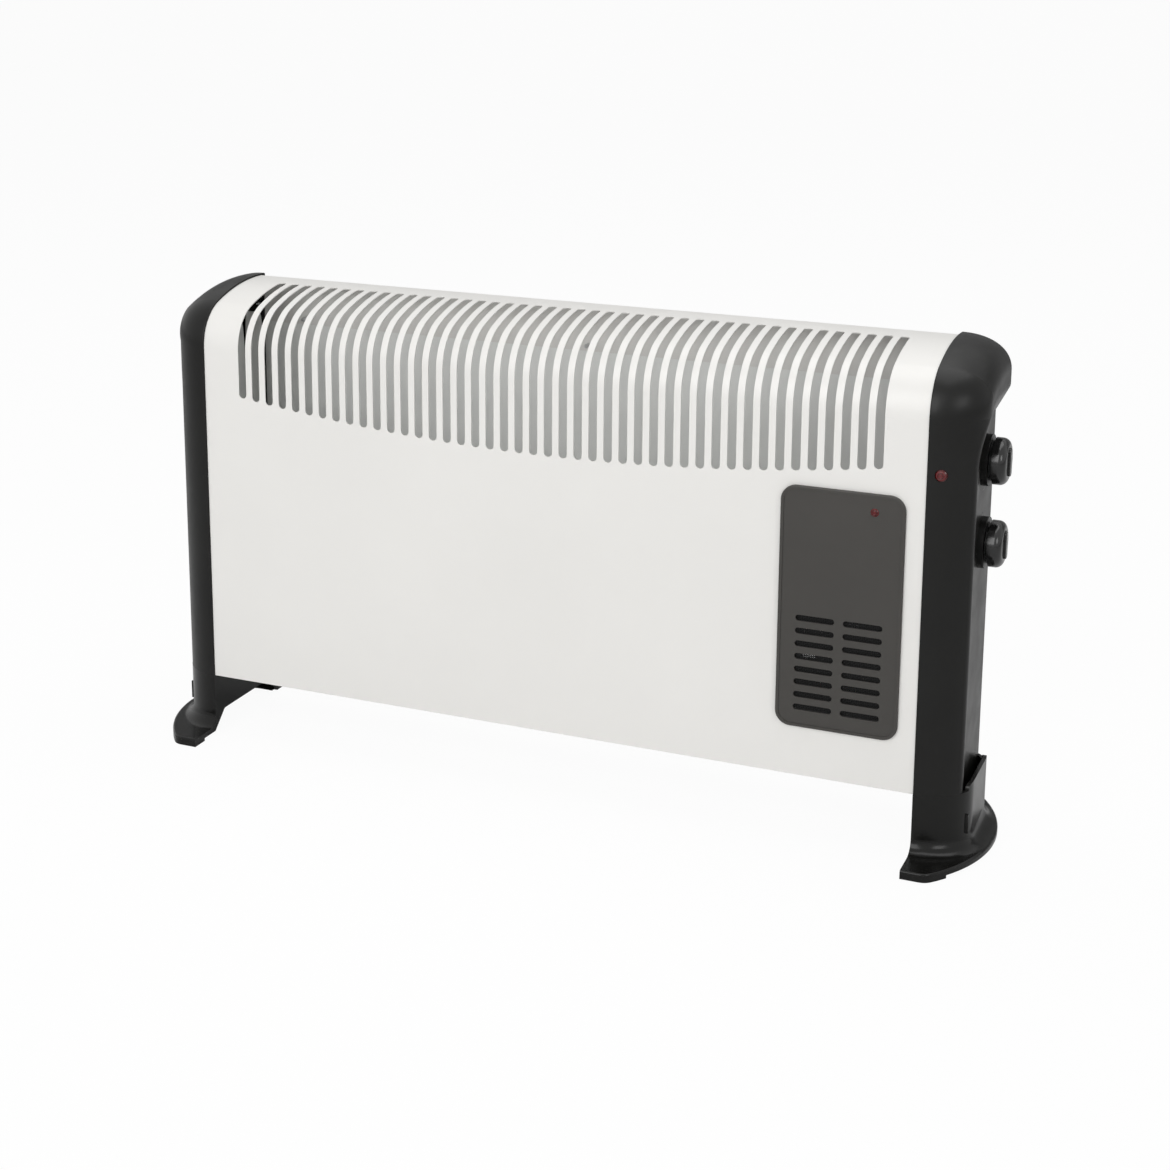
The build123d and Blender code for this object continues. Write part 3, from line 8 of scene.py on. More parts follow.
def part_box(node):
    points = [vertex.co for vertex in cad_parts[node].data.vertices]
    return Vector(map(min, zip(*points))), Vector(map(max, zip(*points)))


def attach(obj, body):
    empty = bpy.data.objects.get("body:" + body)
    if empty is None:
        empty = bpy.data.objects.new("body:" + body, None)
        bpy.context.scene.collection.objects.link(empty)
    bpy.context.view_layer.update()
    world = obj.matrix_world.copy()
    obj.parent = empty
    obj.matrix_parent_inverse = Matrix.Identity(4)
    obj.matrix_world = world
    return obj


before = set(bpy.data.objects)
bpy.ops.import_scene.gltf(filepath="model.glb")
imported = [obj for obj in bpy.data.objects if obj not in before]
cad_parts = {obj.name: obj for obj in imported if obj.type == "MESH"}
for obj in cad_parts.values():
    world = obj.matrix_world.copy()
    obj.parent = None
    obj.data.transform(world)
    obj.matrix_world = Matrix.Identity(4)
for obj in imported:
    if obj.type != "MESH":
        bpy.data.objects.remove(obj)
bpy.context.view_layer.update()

bl_info = {
    "name": "Convector heater finishes",
    "version": (1, 0, 0),
    "blender": (4, 5, 0),
    "location": "3D View > Sidebar > Heater",
    "description": "Dresses the packed convector heater in enamel, moulded plastic and metal",
    "category": "Object",
}


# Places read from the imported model

def middle(node):
    """Middle of a node's box at rest."""
    low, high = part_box(node)
    return (np.array(low) + np.array(high)) / 2


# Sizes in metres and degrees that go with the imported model's own

GAUZE_SETBACK = 0.0029  # from the front of the fan cover to the middle of the gauze
GAUZE_SIZE = (0.0690, 0.0775)  # width and height
THREAD_SHARE = 0.4  # half width of a thread, as a share of the pitch
THREAD_DEPTH = 0.00026  # half thickness of a thread

LAMP_RADII = {"power_lamp": 0.0044, "fan_lamp": 0.0030}
LENS_SHARE = 0.82  # radius of a lens, as a share of the lamp's
LENS_SETBACK = 0.0005  # from the lamp's front to the rim of the lens
LENS_HEIGHT = 0.0011
LENS_RIPPLE = 0.00012  # depth of the rings

POINTER_HALF = (0.00018, 0.0006)  # half thickness and half width of the line on a dial
POINTER_REACH = 0.85  # from the dial's axis to the middle of the line, as a share of its length
PRINT_LIFT = 0.00012  # half thickness of a printed scale
THERMOSTAT_ARC = (20, 270)  # from the top, clockwise as seen from the end
THERMOSTAT_ARC_START = 0.0002  # half width where that arc begins
SELECTOR_MARKS = (0, 80, 160, 240)
SELECTOR_MARK_LENGTH = 5
SELECTOR_MARK_SHARE = 0.7  # half width, as a share of the wide end of the thermostat's arc

LINER_PLATE = {"centre": (-0.3315, 0.005, 0.215), "half": (0.0412, 0.157), "squareness": 6,
               "thickness": 0.0006, "rib": 0.0008, "ribs": 9}
# The wing at the back stays between two of the cap's screws.
LINER_WING = {"centre": (-0.3222, 0.0460, 0.300), "half": (0.0086, 0.062), "squareness": 8,
              "thickness": 0.0006, "rib": 0.0003, "ribs": 4, "across": 1}

SLEEVE_OFFSET = 0.002  # from the inner end of a control to the middle of a sleeve
SLEEVE_HALF = (0.0055, 0.0022)  # half length and half thickness of a sleeve
SLEEVE_FIT = 0.9  # half width, as a share of the setting
TERMINALS = {  # terminals of each control, in Y and Z from its middle
    "thermostat": ((-0.010, -0.008), (-0.010, 0.008)),
    "selector_switch": ((-0.008, -0.009), (0.0, 0.009), (0.008, -0.009)),
}

LIGHTS = (  # name, place, width of the square and the setting that holds its power
    ("key_light", (-0.5, -3.15, 1.9), 2.2, "key_power"),
    ("fill_light", (2.6, -2.0, 1.6), 1.2, "fill_power"),
    ("top_light", (0.2, 0.4, 3.0), 2.4, "top_power"),
)
LIGHT_AIM = (0, 0, 0.2)
SENSOR_WIDTH = 36.0  # in millimetres
FOCAL_PIXELS = 2029.8  # focal length in a picture as wide as the next line says
PICTURE_PIXELS = 1170


# Surfaces

def skin(rings):
    """Closed surface through rings of points, shut at both ends by the ring's middle point.

    rings has one row for each ring and one column for each point round it. The first and the
    last ring shrink to their mean, and quads or triangles join each ring to the next. The faces
    are turned round when the volume that they enclose comes out negative.
    """
    rows, columns = rings.shape[:2]
    body = rings[1:-1].reshape(-1, 3)
    points = np.vstack([rings[0].mean(0), body, rings[-1].mean(0)])
    i, j = np.meshgrid(np.arange(rows - 3), np.arange(columns), indexing="ij")
    k = (j + 1) % columns
    corners = [i * columns + j, i * columns + k, (i + 1) * columns + k, (i + 1) * columns + j]
    quads = 1 + np.stack(corners, -1).reshape(-1, 4)
    around = np.arange(columns)
    after = (around + 1) % columns
    last = 1 + (rows - 3) * columns
    start = np.stack([np.zeros(columns, int), 1 + after, 1 + around], -1)
    end = np.stack([np.full(columns, len(points) - 1), last + around, last + after], -1)
    triangles = np.vstack([start, end, quads[:, [0, 1, 2]], quads[:, [0, 2, 3]]])
    a, b, c = (points[triangles[:, corner]] for corner in range(3))
    if np.einsum("ij,ij->", a, np.cross(b, c)) < 0:
        quads, start, end = quads[:, ::-1], start[:, ::-1], end[:, ::-1]
    return points, quads.tolist() + start.tolist() + end.tolist()


def pebble(centre, half, squareness, rows=17, columns=32):
    """Superellipsoid, a box with rounded sides.

    Each coordinate is half the size times a sine or cosine of the two angles, raised to the
    power 2 / squareness with its sign kept, so 2 gives an ellipsoid and more gives a box.
    """
    up = np.linspace(-pi / 2, pi / 2, rows)[:, None]
    turn = np.linspace(0, 2 * pi, columns, endpoint=False)[None, :]
    power = 2 / squareness

    def bent(value):
        return np.sign(value) * np.abs(value) ** power

    across = bent(np.cos(up)) * bent(np.cos(turn))
    deep = bent(np.cos(up)) * bent(np.sin(turn))
    high = bent(np.sin(up)) * np.ones_like(turn)
    return skin(np.array(centre) + np.stack([across, deep, high], -1) * np.array(half))


def dial_arc(centre, radius, narrow, wide, thickness, start, end, rows=73, columns=12):
    """Printed arc round a dial that grows wider along its length.

    Its middle line is a circle in the plane across X, from the start to the end angle in degrees.
    The section is an ellipse whose half width runs evenly from narrow to wide and whose half
    height is the thickness. It shrinks to a point at both ends by the square root of six times
    the sine of the share of half a turn, where that is under 1.
    """
    share = np.linspace(0, 1, rows)[:, None]
    angle = np.radians(start + (end - start) * share)
    turn = np.linspace(0, 2 * pi, columns, endpoint=False)[None, :]
    taper = np.clip(np.sin(pi * share) * 6, 0, 1) ** 0.5
    reach = radius + taper * (narrow + (wide - narrow) * share) * np.cos(turn)
    lift = taper * thickness * np.sin(turn)
    ring = np.stack([lift, reach * np.sin(angle), reach * np.cos(angle)], -1)
    return skin(np.array(centre) + ring)


def ribbed_lens(centre, radius, height, ribs, ripple, seat=0.0004, rows=49, columns=64):
    """Domed lamp lens that faces the front, with fine rings moulded in it.

    The dome's depth falls off as one minus the square of the share of the radius, and a cosine
    of that share times the number of ribs adds the rings, which fade out at the rim by one minus
    the eighth power of the share. A flat back closes it, as far behind the rim as the seat says.
    """
    turn = np.linspace(0, 2 * pi, columns, endpoint=False)[None, :]

    def rings(share, depth):
        across, high = radius * share * np.cos(turn), radius * share * np.sin(turn)
        return np.stack([across, depth + 0 * across, high], -1)

    out = np.linspace(0, 1, rows)[:, None]
    dome = height * (1 - out ** 2) + ripple * (1 - out ** 8) * np.cos(2 * pi * ribs * out)
    inward = np.linspace(1, 0, 6)[1:, None]
    return skin(np.array(centre) + np.concatenate([rings(out, -dome), rings(inward, seat)]))


def woven_gauze(centre, width, height, pitch, wide, deep, columns=6):
    """Gauze across Y, woven from flat threads.

    Each thread runs straight up or across, and sways through the gauze by the half thickness of
    a thread times the cosine of half a turn for each pitch of its length. Every second thread
    sways the other way. The section is an ellipse with the half width wide and the half
    thickness deep.
    """
    turn = np.linspace(0, 2 * pi, columns, endpoint=False)[None, :]
    threads = []
    for length, span, side in ((height, width, 1), (width, height, -1)):
        along = np.arange(-length / 2, length / 2, pitch / 2)[:, None]
        start = -int(span / 2 / pitch)
        for number in range(start, 1 - start):
            sway = side * (-1) ** number * np.cos(pi * along / pitch)
            across = number * pitch + wide * np.cos(turn) + 0 * along
            depth = deep * (sway + np.sin(turn))
            run = along + 0 * turn
            order = (across, depth, run) if side > 0 else (run, depth, across)
            threads.append(skin(np.array(centre) + np.stack(order, -1)))
    return threads


def pressed_plate(centre, half, squareness, thickness, rib, ribs, across=0, rows=64, columns=96):
    """Upright sheet plate with level pressed ribs, across X where across is 0 and Y where it is 1.

    Its outline is a superellipse, with the sine and cosine of the turn raised to the power
    2 / squareness, and each point of a face is that outline times a share from 0 to 1. Both faces
    are pushed the same way by the rib height times the square of a cosine of the height, and the
    push fades out evenly between 0.73 and 0.9 of the way to the edge.
    """
    turn = np.linspace(0, 2 * pi, columns, endpoint=False)[None, :]
    wide = np.sign(np.cos(turn)) * np.abs(np.cos(turn)) ** (2 / squareness) * half[0]
    high = np.sign(np.sin(turn)) * np.abs(np.sin(turn)) ** (2 / squareness) * half[1]
    faces = []
    for shares, offset in ((np.linspace(0, 1, rows), 0.0), (np.linspace(1, 0, rows), thickness)):
        share = shares[:, None]
        fade = np.clip(6 * (0.9 - share), 0, 1)
        push = rib * fade * np.cos(pi * ribs * share * high / half[1] / 2) ** 2
        order = (-push - offset, share * wide) if across == 0 else (share * wide, push + offset)
        faces.append(np.stack([*order, share * high], -1))
    return skin(np.array(centre) + np.concatenate(faces))


def studio_sweep(width, front, back, height, bend, steps=24):
    """Floor that runs back and curves up into a wall.

    Its profile is a line, a quarter circle and a line, carried straight across the width.
    """
    angle = np.linspace(0, pi / 2, steps)
    deep = np.concatenate([[front], back - bend + bend * np.sin(angle), [back]])
    high = np.concatenate([[0.0], bend - bend * np.cos(angle), [height]])
    across = np.array([-width / 2, width / 2])
    points = np.stack([np.repeat(across[None, :], len(deep), 0), np.repeat(deep[:, None], 2, 1),
                       np.repeat(high[:, None], 2, 1)], -1).reshape(-1, 3)
    start = 2 * np.arange(len(deep) - 1)
    faces = np.stack([start, start + 1, start + 3, start + 2], -1)
    return points, faces.tolist()


def make_object(name, shapes, material):
    """One mesh object at the origin from several shapes, each a pair of points and faces."""
    points, faces, count = [], [], 0
    for shape_points, shape_faces in shapes:
        points.append(shape_points)
        faces += [[corner + count for corner in face] for face in shape_faces]
        count += len(shape_points)
    mesh = bpy.data.meshes.new(name)
    mesh.from_pydata(np.vstack(points).tolist(), [], faces)
    mesh.polygons.foreach_set("use_smooth", np.ones(len(mesh.polygons), bool))
    mesh.materials.append(material)
    mesh.update()
    made = bpy.data.objects.new(name, mesh)
    bpy.context.scene.collection.objects.link(made)
    return made


def add_piece(name, shapes, material, body):
    """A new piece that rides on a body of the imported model."""
    made = make_object(name, shapes, material)
    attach(made, body)


# Materials

def shader_node(tree, kind, inputs=None, **settings):
    """Adds a node, sets its properties, and links or sets its inputs by name or number."""
    made = tree.nodes.new("ShaderNode" + kind)
    for key, value in settings.items():
        setattr(made, key, value)
    for key, value in (inputs or {}).items():
        if isinstance(value, bpy.types.NodeSocket):
            tree.links.new(value, made.inputs[key])
        else:
            made.inputs[key].default_value = value
    return made


class Finish:
    """A Principled material and the few node chains that every finish here is made of."""

    def __init__(self, name, roughness, metallic=0.0, specular=0.5, stretch=(1, 1, 1), centre=(0, 0, 0)):
        self.material = bpy.data.materials.new(name)
        self.material.use_nodes = True
        self.tree = self.material.node_tree
        self.tree.nodes.clear()
        self.shader = shader_node(self.tree, "BsdfPrincipled", {
            "Roughness": roughness, "Metallic": metallic, "Specular IOR Level": specular})
        shader_node(self.tree, "OutputMaterial", {"Surface": self.shader.outputs[0]})
        coordinates = shader_node(self.tree, "TexCoord").outputs["Object"]
        self.place = shader_node(self.tree, "Mapping", {
            "Vector": coordinates, "Scale": stretch,
            "Location": [-c * s for c, s in zip(centre, stretch)]}).outputs[0]
        self.normal = None

    def noise(self, scale, detail=2.0, rough=0.5, distortion=0.0):
        """Soft noise of one size, from 0 to 1."""
        return shader_node(self.tree, "TexNoise", {
            "Vector": self.place, "Scale": scale, "Detail": detail, "Roughness": rough,
            "Distortion": distortion}).outputs[0]

    def cells(self, scale):
        """Random cells, such as zinc spangle: the distance to the nearest cell's middle."""
        return shader_node(self.tree, "TexVoronoi", {
            "Vector": self.place, "Scale": scale}).outputs["Distance"]

    def waves(self, scale, direction="X", distortion=0.0, kind="BANDS"):
        """Even bands or rings, with kind BANDS or RINGS."""
        chosen = {kind.lower() + "_direction": direction}
        return shader_node(self.tree, "TexWave", {
            "Vector": self.place, "Scale": scale, "Distortion": distortion, "Detail": 1.0},
            wave_type=kind, **chosen).outputs[1]

    def span(self, value, low, high, start=0.3, end=0.7):
        """Maps a pattern from start and end to low and high."""
        return shader_node(self.tree, "MapRange", {
            "Value": value, "From Min": start, "From Max": end,
            "To Min": low, "To Max": high}).outputs[0]

    def joined(self, first, second, operation="ADD"):
        """Two patterns, or a pattern and a number, joined by one sum."""
        return shader_node(self.tree, "Math", {0: first, 1: second}, operation=operation).outputs[0]

    def colour(self, pattern, dark, light, start=0.3, end=0.7):
        """Base colour that runs from dark to light with a pattern."""
        ramp = shader_node(self.tree, "ValToRGB", {"Fac": pattern})
        ramp.color_ramp.elements[0].position = start
        ramp.color_ramp.elements[0].color = (*dark, 1)
        ramp.color_ramp.elements[1].position = end
        ramp.color_ramp.elements[1].color = (*light, 1)
        self.tree.links.new(ramp.outputs[0], self.shader.inputs["Base Color"])

    def gloss(self, pattern, low, high):
        """Roughness that drifts between two values."""
        self.tree.links.new(self.span(pattern, low, high), self.shader.inputs["Roughness"])

    def relief(self, pattern, distance, strength=1.0):
        """Bump of a real height in metres, added to any bump that is there already."""
        inputs = {"Height": pattern, "Distance": distance, "Strength": strength}
        if self.normal:
            inputs["Normal"] = self.normal
        self.normal = shader_node(self.tree, "Bump", inputs).outputs[0]
        self.tree.links.new(self.normal, self.shader.inputs["Normal"])


def shade(colour, share):
    """A colour made darker or lighter by a share, and held to 1."""
    return tuple(min(1.0, channel * share) for channel in colour)


def enamel(name, colour):
    """Powder enamel on sheet steel: orange peel in two sizes and a slow drift of tone."""
    made = Finish(name, 0.36, specular=0.45)
    drift = made.noise(7.0, 3.0)
    made.colour(drift, shade(colour, 0.985), shade(colour, 1.012))
    made.gloss(made.noise(60.0, 2.0), 0.33, 0.41)
    made.relief(made.noise(420.0, 2.0), 0.00003, 0.35)
    made.relief(made.noise(1700.0, 1.0), 0.000006, 0.25)
    return made.material


def moulded(name, colour, roughness, grain, depth, specular=0.5, drift=0.12):
    """Moulded plastic: spark-eroded grain, faint flow marks, and a drift of gloss."""
    made = Finish(name, roughness, specular=specular)
    flow = made.noise(11.0, 4.0, 0.55, 0.6)
    made.colour(flow, shade(colour, 1 - drift), shade(colour, 1 + drift))
    made.gloss(made.noise(38.0, 3.0), roughness - 0.04, roughness + 0.05)
    made.relief(made.noise(grain, 2.0, 0.6), depth, 0.3)
    made.relief(made.noise(26.0, 1.0), 0.0001, 0.1)
    return made.material


def glossy_moulded(name, colour, roughness):
    """Polished plastic: hardly any grain, a slight waviness and fine handling marks."""
    made = Finish(name, roughness, specular=0.5)
    made.colour(made.noise(14.0, 3.0), shade(colour, 0.85), shade(colour, 1.2))
    made.gloss(made.noise(90.0, 4.0, 0.65), roughness - 0.04, roughness + 0.07)
    made.relief(made.noise(45.0, 1.0), 0.00008, 0.12)
    made.relief(made.noise(2200.0, 1.0), 0.000004, 0.2)
    return made.material


def rolled_sheet(name, colour, stretch, roughness=0.34, spangle=0.0):
    """Rolled or galvanised sheet: streaks along the axis whose stretch is small, and zinc cells."""
    made = Finish(name, roughness, metallic=1.0, stretch=stretch)
    streak = made.noise(24.0, 4.0, 0.6)
    if spangle:
        streak = made.joined(made.joined(streak, made.cells(spangle)), 0.5, "MULTIPLY")
    made.colour(streak, shade(colour, 0.82), shade(colour, 1.12))
    made.gloss(streak, roughness - 0.08, roughness + 0.12)
    made.relief(streak, 0.00002, 0.4)
    return made.material


def turned_steel(name, colour, scale=900.0):
    """Turned or plated steel: a mottled plating over a fine roughness."""
    made = Finish(name, 0.3, metallic=1.0)
    mottle = made.noise(260.0, 4.0, 0.6)
    made.colour(mottle, shade(colour, 0.8), shade(colour, 1.15))
    made.gloss(mottle, 0.22, 0.4)
    made.relief(made.noise(scale, 2.0), 0.00001, 0.5)
    return made.material


def extruded_aluminium(name, colour):
    """Extruded aluminium: die lines along X and a slightly dull oxide."""
    made = Finish(name, 0.36, metallic=1.0, stretch=(0.02, 1, 1))
    lines = made.noise(900.0, 3.0, 0.6)
    made.colour(lines, shade(colour, 0.84), shade(colour, 1.1))
    made.gloss(lines, 0.28, 0.45)
    made.relief(lines, 0.00003, 0.6)
    return made.material


def cast_metal(name, colour):
    """Die-cast metal: fine pits and a cloudy skin."""
    made = Finish(name, 0.45, metallic=1.0)
    made.colour(made.noise(70.0, 3.0), shade(colour, 0.8), shade(colour, 1.1))
    made.gloss(made.noise(200.0, 2.0), 0.38, 0.55)
    made.relief(made.noise(700.0, 3.0, 0.7), 0.00004, 0.6)
    return made.material


def laminations(name, colour):
    """Stack of thin iron sheets: bands across the stack, with a dull edge."""
    made = Finish(name, 0.5, metallic=0.9)
    sheets = made.waves(640.0, "Y", 0.2)
    made.colour(sheets, shade(colour, 0.45), shade(colour, 1.05), 0.1, 0.5)
    made.gloss(made.noise(120.0, 3.0), 0.42, 0.6)
    made.relief(sheets, 0.0001, 0.6)
    return made.material


def wound_tape(name, colour):
    """Turns of tape over a winding: overlapping bands with a slight sheen."""
    made = Finish(name, 0.42, specular=0.5)
    turns = made.waves(95.0, "X", 1.2)
    made.colour(turns, shade(colour, 0.72), shade(colour, 1.1), 0.1, 0.9)
    made.gloss(made.noise(90.0, 2.0), 0.34, 0.5)
    made.relief(turns, 0.0002, 0.7)
    return made.material


def glazed_ceramic(name, colour):
    """Glazed ceramic: small specks under a clear glaze."""
    made = Finish(name, 0.3, specular=0.5)
    made.colour(made.noise(900.0, 2.0, 0.7), shade(colour, 0.8), colour, 0.25, 0.45)
    made.gloss(made.noise(150.0, 2.0), 0.2, 0.36)
    made.relief(made.noise(260.0, 2.0), 0.00004, 0.4)
    made.shader.inputs["Coat Weight"].default_value = 0.3
    return made.material


def sleeving(name, colour):
    """Braided heat-proof sleeving: slanting bands times level bands."""
    made = Finish(name, 0.62, specular=0.35)
    braid = made.joined(made.waves(420.0, "DIAGONAL", 0.4), made.waves(420.0, "Z", 0.4), "MULTIPLY")
    made.colour(braid, shade(colour, 0.6), shade(colour, 1.2), 0.1, 0.8)
    made.gloss(made.noise(300.0, 2.0), 0.55, 0.72)
    made.relief(braid, 0.0002, 0.7)
    return made.material


def tinted_lens(name, colour, centre):
    """Tinted lamp lens: even dark and light rings round its axis, under a hard gloss."""
    made = Finish(name, 0.24, specular=0.35, centre=centre)
    rings = made.waves(150.0, "Y", 0.0, "RINGS")
    made.colour(rings, shade(colour, 0.45), colour, 0.15, 0.7)
    made.gloss(made.noise(400.0, 2.0), 0.18, 0.3)
    made.relief(rings, 0.00015, 0.5)
    made.shader.inputs["Subsurface Weight"].default_value = 0.15
    made.shader.inputs["Subsurface Scale"].default_value = 0.002
    made.shader.inputs["Coat Weight"].default_value = 0.1
    return made.material


def printed_paint(name, colour):
    """Pad-printed paint: a little uneven in tone, gloss and height."""
    made = Finish(name, 0.5, specular=0.4)
    made.colour(made.noise(500.0, 3.0), shade(colour, 0.88), colour)
    made.gloss(made.noise(120.0, 2.0), 0.42, 0.58)
    made.relief(made.noise(1500.0, 2.0), 0.00001, 0.5)
    return made.material


def dress(material, *nodes):
    """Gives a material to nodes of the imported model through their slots."""
    for name in nodes:
        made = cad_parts[name]
        if not made.material_slots:
            raise RuntimeError(name + " has no material slot")
        for slot in made.material_slots:
            slot.material = material


# Settings

def colour_setting(name, description, default):
    """Property that holds a colour."""
    return bpy.props.FloatVectorProperty(name=name, description=description, default=default,
                                         subtype="COLOR", size=3, min=0.0, max=1.0)


class HeaterColours(bpy.types.PropertyGroup):
    """Colours of the heater's finishes."""
    enamel: colour_setting("Enamel", "White enamel of the front case", (0.80, 0.79, 0.765))
    back: colour_setting("Back", "Enamel of the back panel", (0.88, 0.89, 0.87))
    cap: colour_setting("End caps", "Black moulded end caps", (0.0085, 0.0085, 0.0080))
    foot: colour_setting("Feet", "Black moulded feet", (0.0055, 0.0055, 0.0050))
    dial: colour_setting("Dials", "Polished black dials", (0.007, 0.007, 0.007))
    cover: colour_setting("Fan cover", "Dark grey fan cover", (0.044, 0.041, 0.037))
    lamp: colour_setting("Lamps", "Tinted lamp lenses", (0.12, 0.008, 0.009))
    printing: colour_setting("Printing", "Lines printed on the dials", (0.72, 0.72, 0.70))
    scale: colour_setting("Scales", "Scales printed round the dials", (0.11, 0.11, 0.105))
    steel: colour_setting("Steel", "Plated steel", (0.60, 0.61, 0.62))
    aluminium: colour_setting("Aluminium", "Extruded aluminium", (0.70, 0.71, 0.72))
    lead: colour_setting("Leads", "Sleeving of the leads", (0.42, 0.06, 0.04))
    sleeve: colour_setting("Sleeves", "Sleeves on the terminals", (0.70, 0.70, 0.66))
    terminal: colour_setting("Terminals", "Moulded terminal block", (0.74, 0.74, 0.70))
    control: colour_setting("Controls", "Thermostat, selector and cut-out", (0.035, 0.035, 0.036))
    ceramic: colour_setting("Ceramic", "Bushes of the elements", (0.80, 0.78, 0.72))
    gauze: colour_setting("Gauze", "Threads of the dust gauze", (0.006, 0.006, 0.006))
    fan: colour_setting("Fan", "Fan wheel and shroud", (0.035, 0.035, 0.035))
    motor: colour_setting("Motor", "Iron sheets of the motor", (0.42, 0.42, 0.43))
    coil: colour_setting("Coil", "Tape over the winding", (0.66, 0.50, 0.16))
    bridge: colour_setting("Bridges", "Cast bridges of the motor", (0.62, 0.62, 0.60))


class HeaterSizes(bpy.types.PropertyGroup):
    """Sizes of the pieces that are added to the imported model."""
    scale_radius: bpy.props.FloatProperty(
        name="Scale radius", description="Radius of the printed arc round each dial",
        default=0.0232, min=0.021, max=0.026, unit="LENGTH")
    scale_width: bpy.props.FloatProperty(
        name="Scale width", description="Half width of the printed arc at its wide end",
        default=0.0011, min=0.0004, max=0.002, unit="LENGTH")
    pointer_length: bpy.props.FloatProperty(
        name="Pointer length", description="Length of the line on a dial's grip",
        default=0.0085, min=0.004, max=0.011, unit="LENGTH")
    lens_rings: bpy.props.IntProperty(
        name="Lens rings", description="Rings moulded in each lamp lens", default=4, min=1, max=8)
    gauze_pitch: bpy.props.FloatProperty(
        name="Gauze pitch", description="From one thread of the dust gauze to the next",
        default=0.0014, min=0.0012, max=0.003, unit="LENGTH")
    sleeve_width: bpy.props.FloatProperty(
        name="Sleeve width", description="Half width of the sleeves on the terminals",
        default=0.0042, min=0.003, max=0.005, unit="LENGTH")


class StudioSettings(bpy.types.PropertyGroup):
    """Light and camera."""
    ambient: bpy.props.FloatProperty(
        name="Ambient", description="Strength of the light from all round",
        default=0.32, min=0.0, max=2.0)
    key_power: bpy.props.FloatProperty(
        name="Key light", description="Power of the large light in front",
        default=57.0, min=0.0, unit="POWER")
    fill_power: bpy.props.FloatProperty(
        name="Fill light", description="Power of the light on the right",
        default=16.0, min=0.0, unit="POWER")
    top_power: bpy.props.FloatProperty(
        name="Top light", description="Power of the light overhead",
        default=38.0, min=0.0, unit="POWER")
    floor_white: bpy.props.FloatProperty(
        name="Floor white", description="Share of plain white in the floor that the camera sees",
        default=0.95, min=0.0, max=1.0, subtype="FACTOR")
    lens: bpy.props.FloatProperty(
        name="Lens", description="Focal length for a 36 mm wide picture",
        default=FOCAL_PIXELS / PICTURE_PIXELS * SENSOR_WIDTH, min=10.0, unit="CAMERA")
    yaw: bpy.props.FloatProperty(
        name="Yaw", description="Turn of the view away from square on",
        default=radians(22.36), subtype="ANGLE")
    pitch: bpy.props.FloatProperty(
        name="Pitch", description="How far the camera looks down",
        default=radians(12.30), subtype="ANGLE")
    roll: bpy.props.FloatProperty(
        name="Roll", description="Turn of the camera about its own axis",
        default=radians(0.38), subtype="ANGLE")
    place: bpy.props.FloatVectorProperty(
        name="Camera", description="Place of the camera",
        default=(0.6281, -1.4849, 0.7155), size=3, subtype="TRANSLATION")
    shift: bpy.props.FloatVectorProperty(
        name="Shift", description="Shift of the picture, as a share of its width",
        default=(0.0, -0.20), size=2)


# Pieces

class HEATER_OT_enamel(bpy.types.Operator):
    """Enamels the front case and the back panel, and plates the base grille"""
    bl_idname = "heater.enamel"
    bl_label = "Case, back and base"

    def execute(self, context):
        colours = context.scene.heater_colours
        dress(enamel("case_enamel", colours.enamel), "front_case")
        dress(enamel("back_enamel", colours.back), "back_panel")
        dress(rolled_sheet("base_steel", colours.steel, (0.2, 1, 1), roughness=0.36, spangle=55.0),
              "base_grille")
        return {"FINISHED"}


class HEATER_OT_mouldings(bpy.types.Operator):
    """Finishes the end caps, the feet and the cable inlet"""
    bl_idname = "heater.mouldings"
    bl_label = "End caps and feet"

    def execute(self, context):
        colours = context.scene.heater_colours
        dress(moulded("cap_plastic", colours.cap, roughness=0.33, grain=1500.0, depth=0.00002,
                      specular=0.2), "left_end_cap", "right_end_cap")
        dress(moulded("foot_plastic", colours.foot, roughness=0.2, grain=1900.0, depth=0.00001,
                      specular=0.24), "left_foot", "right_foot")
        dress(moulded("inlet_rubber", colours.foot, roughness=0.6, grain=900.0, depth=0.00003,
                      specular=0.3), "cable_inlet_bush")
        return {"FINISHED"}


class HEATER_OT_cover(bpy.types.Operator):
    """Finishes the dark cover in front of the fan and adds the dust gauze behind its vents"""
    bl_idname = "heater.cover"
    bl_label = "Fan cover"

    def execute(self, context):
        colours = context.scene.heater_colours
        pitch = context.scene.heater_sizes.gauze_pitch
        dress(moulded("cover_plastic", colours.cover, roughness=0.46, grain=1300.0, depth=0.00003,
                      specular=0.4, drift=0.06), "fan_cover")
        thread = moulded("gauze_thread", colours.gauze, roughness=0.55, grain=2500.0, depth=0.00001,
                         specular=0.2)
        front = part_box("fan_cover")[0][1]
        place = (middle("fan_cover")[0], front + GAUZE_SETBACK, middle("fan_shroud")[2])
        gauze = woven_gauze(place, *GAUZE_SIZE, pitch, THREAD_SHARE * pitch, THREAD_DEPTH)
        add_piece("dust_gauze", gauze, thread, "heater")
        return {"FINISHED"}


class HEATER_OT_lamps(bpy.types.Operator):
    """Tints both lamps and adds their ringed lenses"""
    bl_idname = "heater.lamps"
    bl_label = "Lamps"

    def execute(self, context):
        colour = context.scene.heater_colours.lamp
        rings = context.scene.heater_sizes.lens_rings
        for name, radius in LAMP_RADII.items():
            rim = middle(name)
            rim[1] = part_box(name)[0][1] + LENS_SETBACK
            tint = tinted_lens(name + "_tint", colour, rim)
            dress(tint, name)
            lens = ribbed_lens(rim, radius * LENS_SHARE, LENS_HEIGHT, rings, LENS_RIPPLE)
            add_piece(name + "_lens", [lens], tint, "heater")
        return {"FINISHED"}


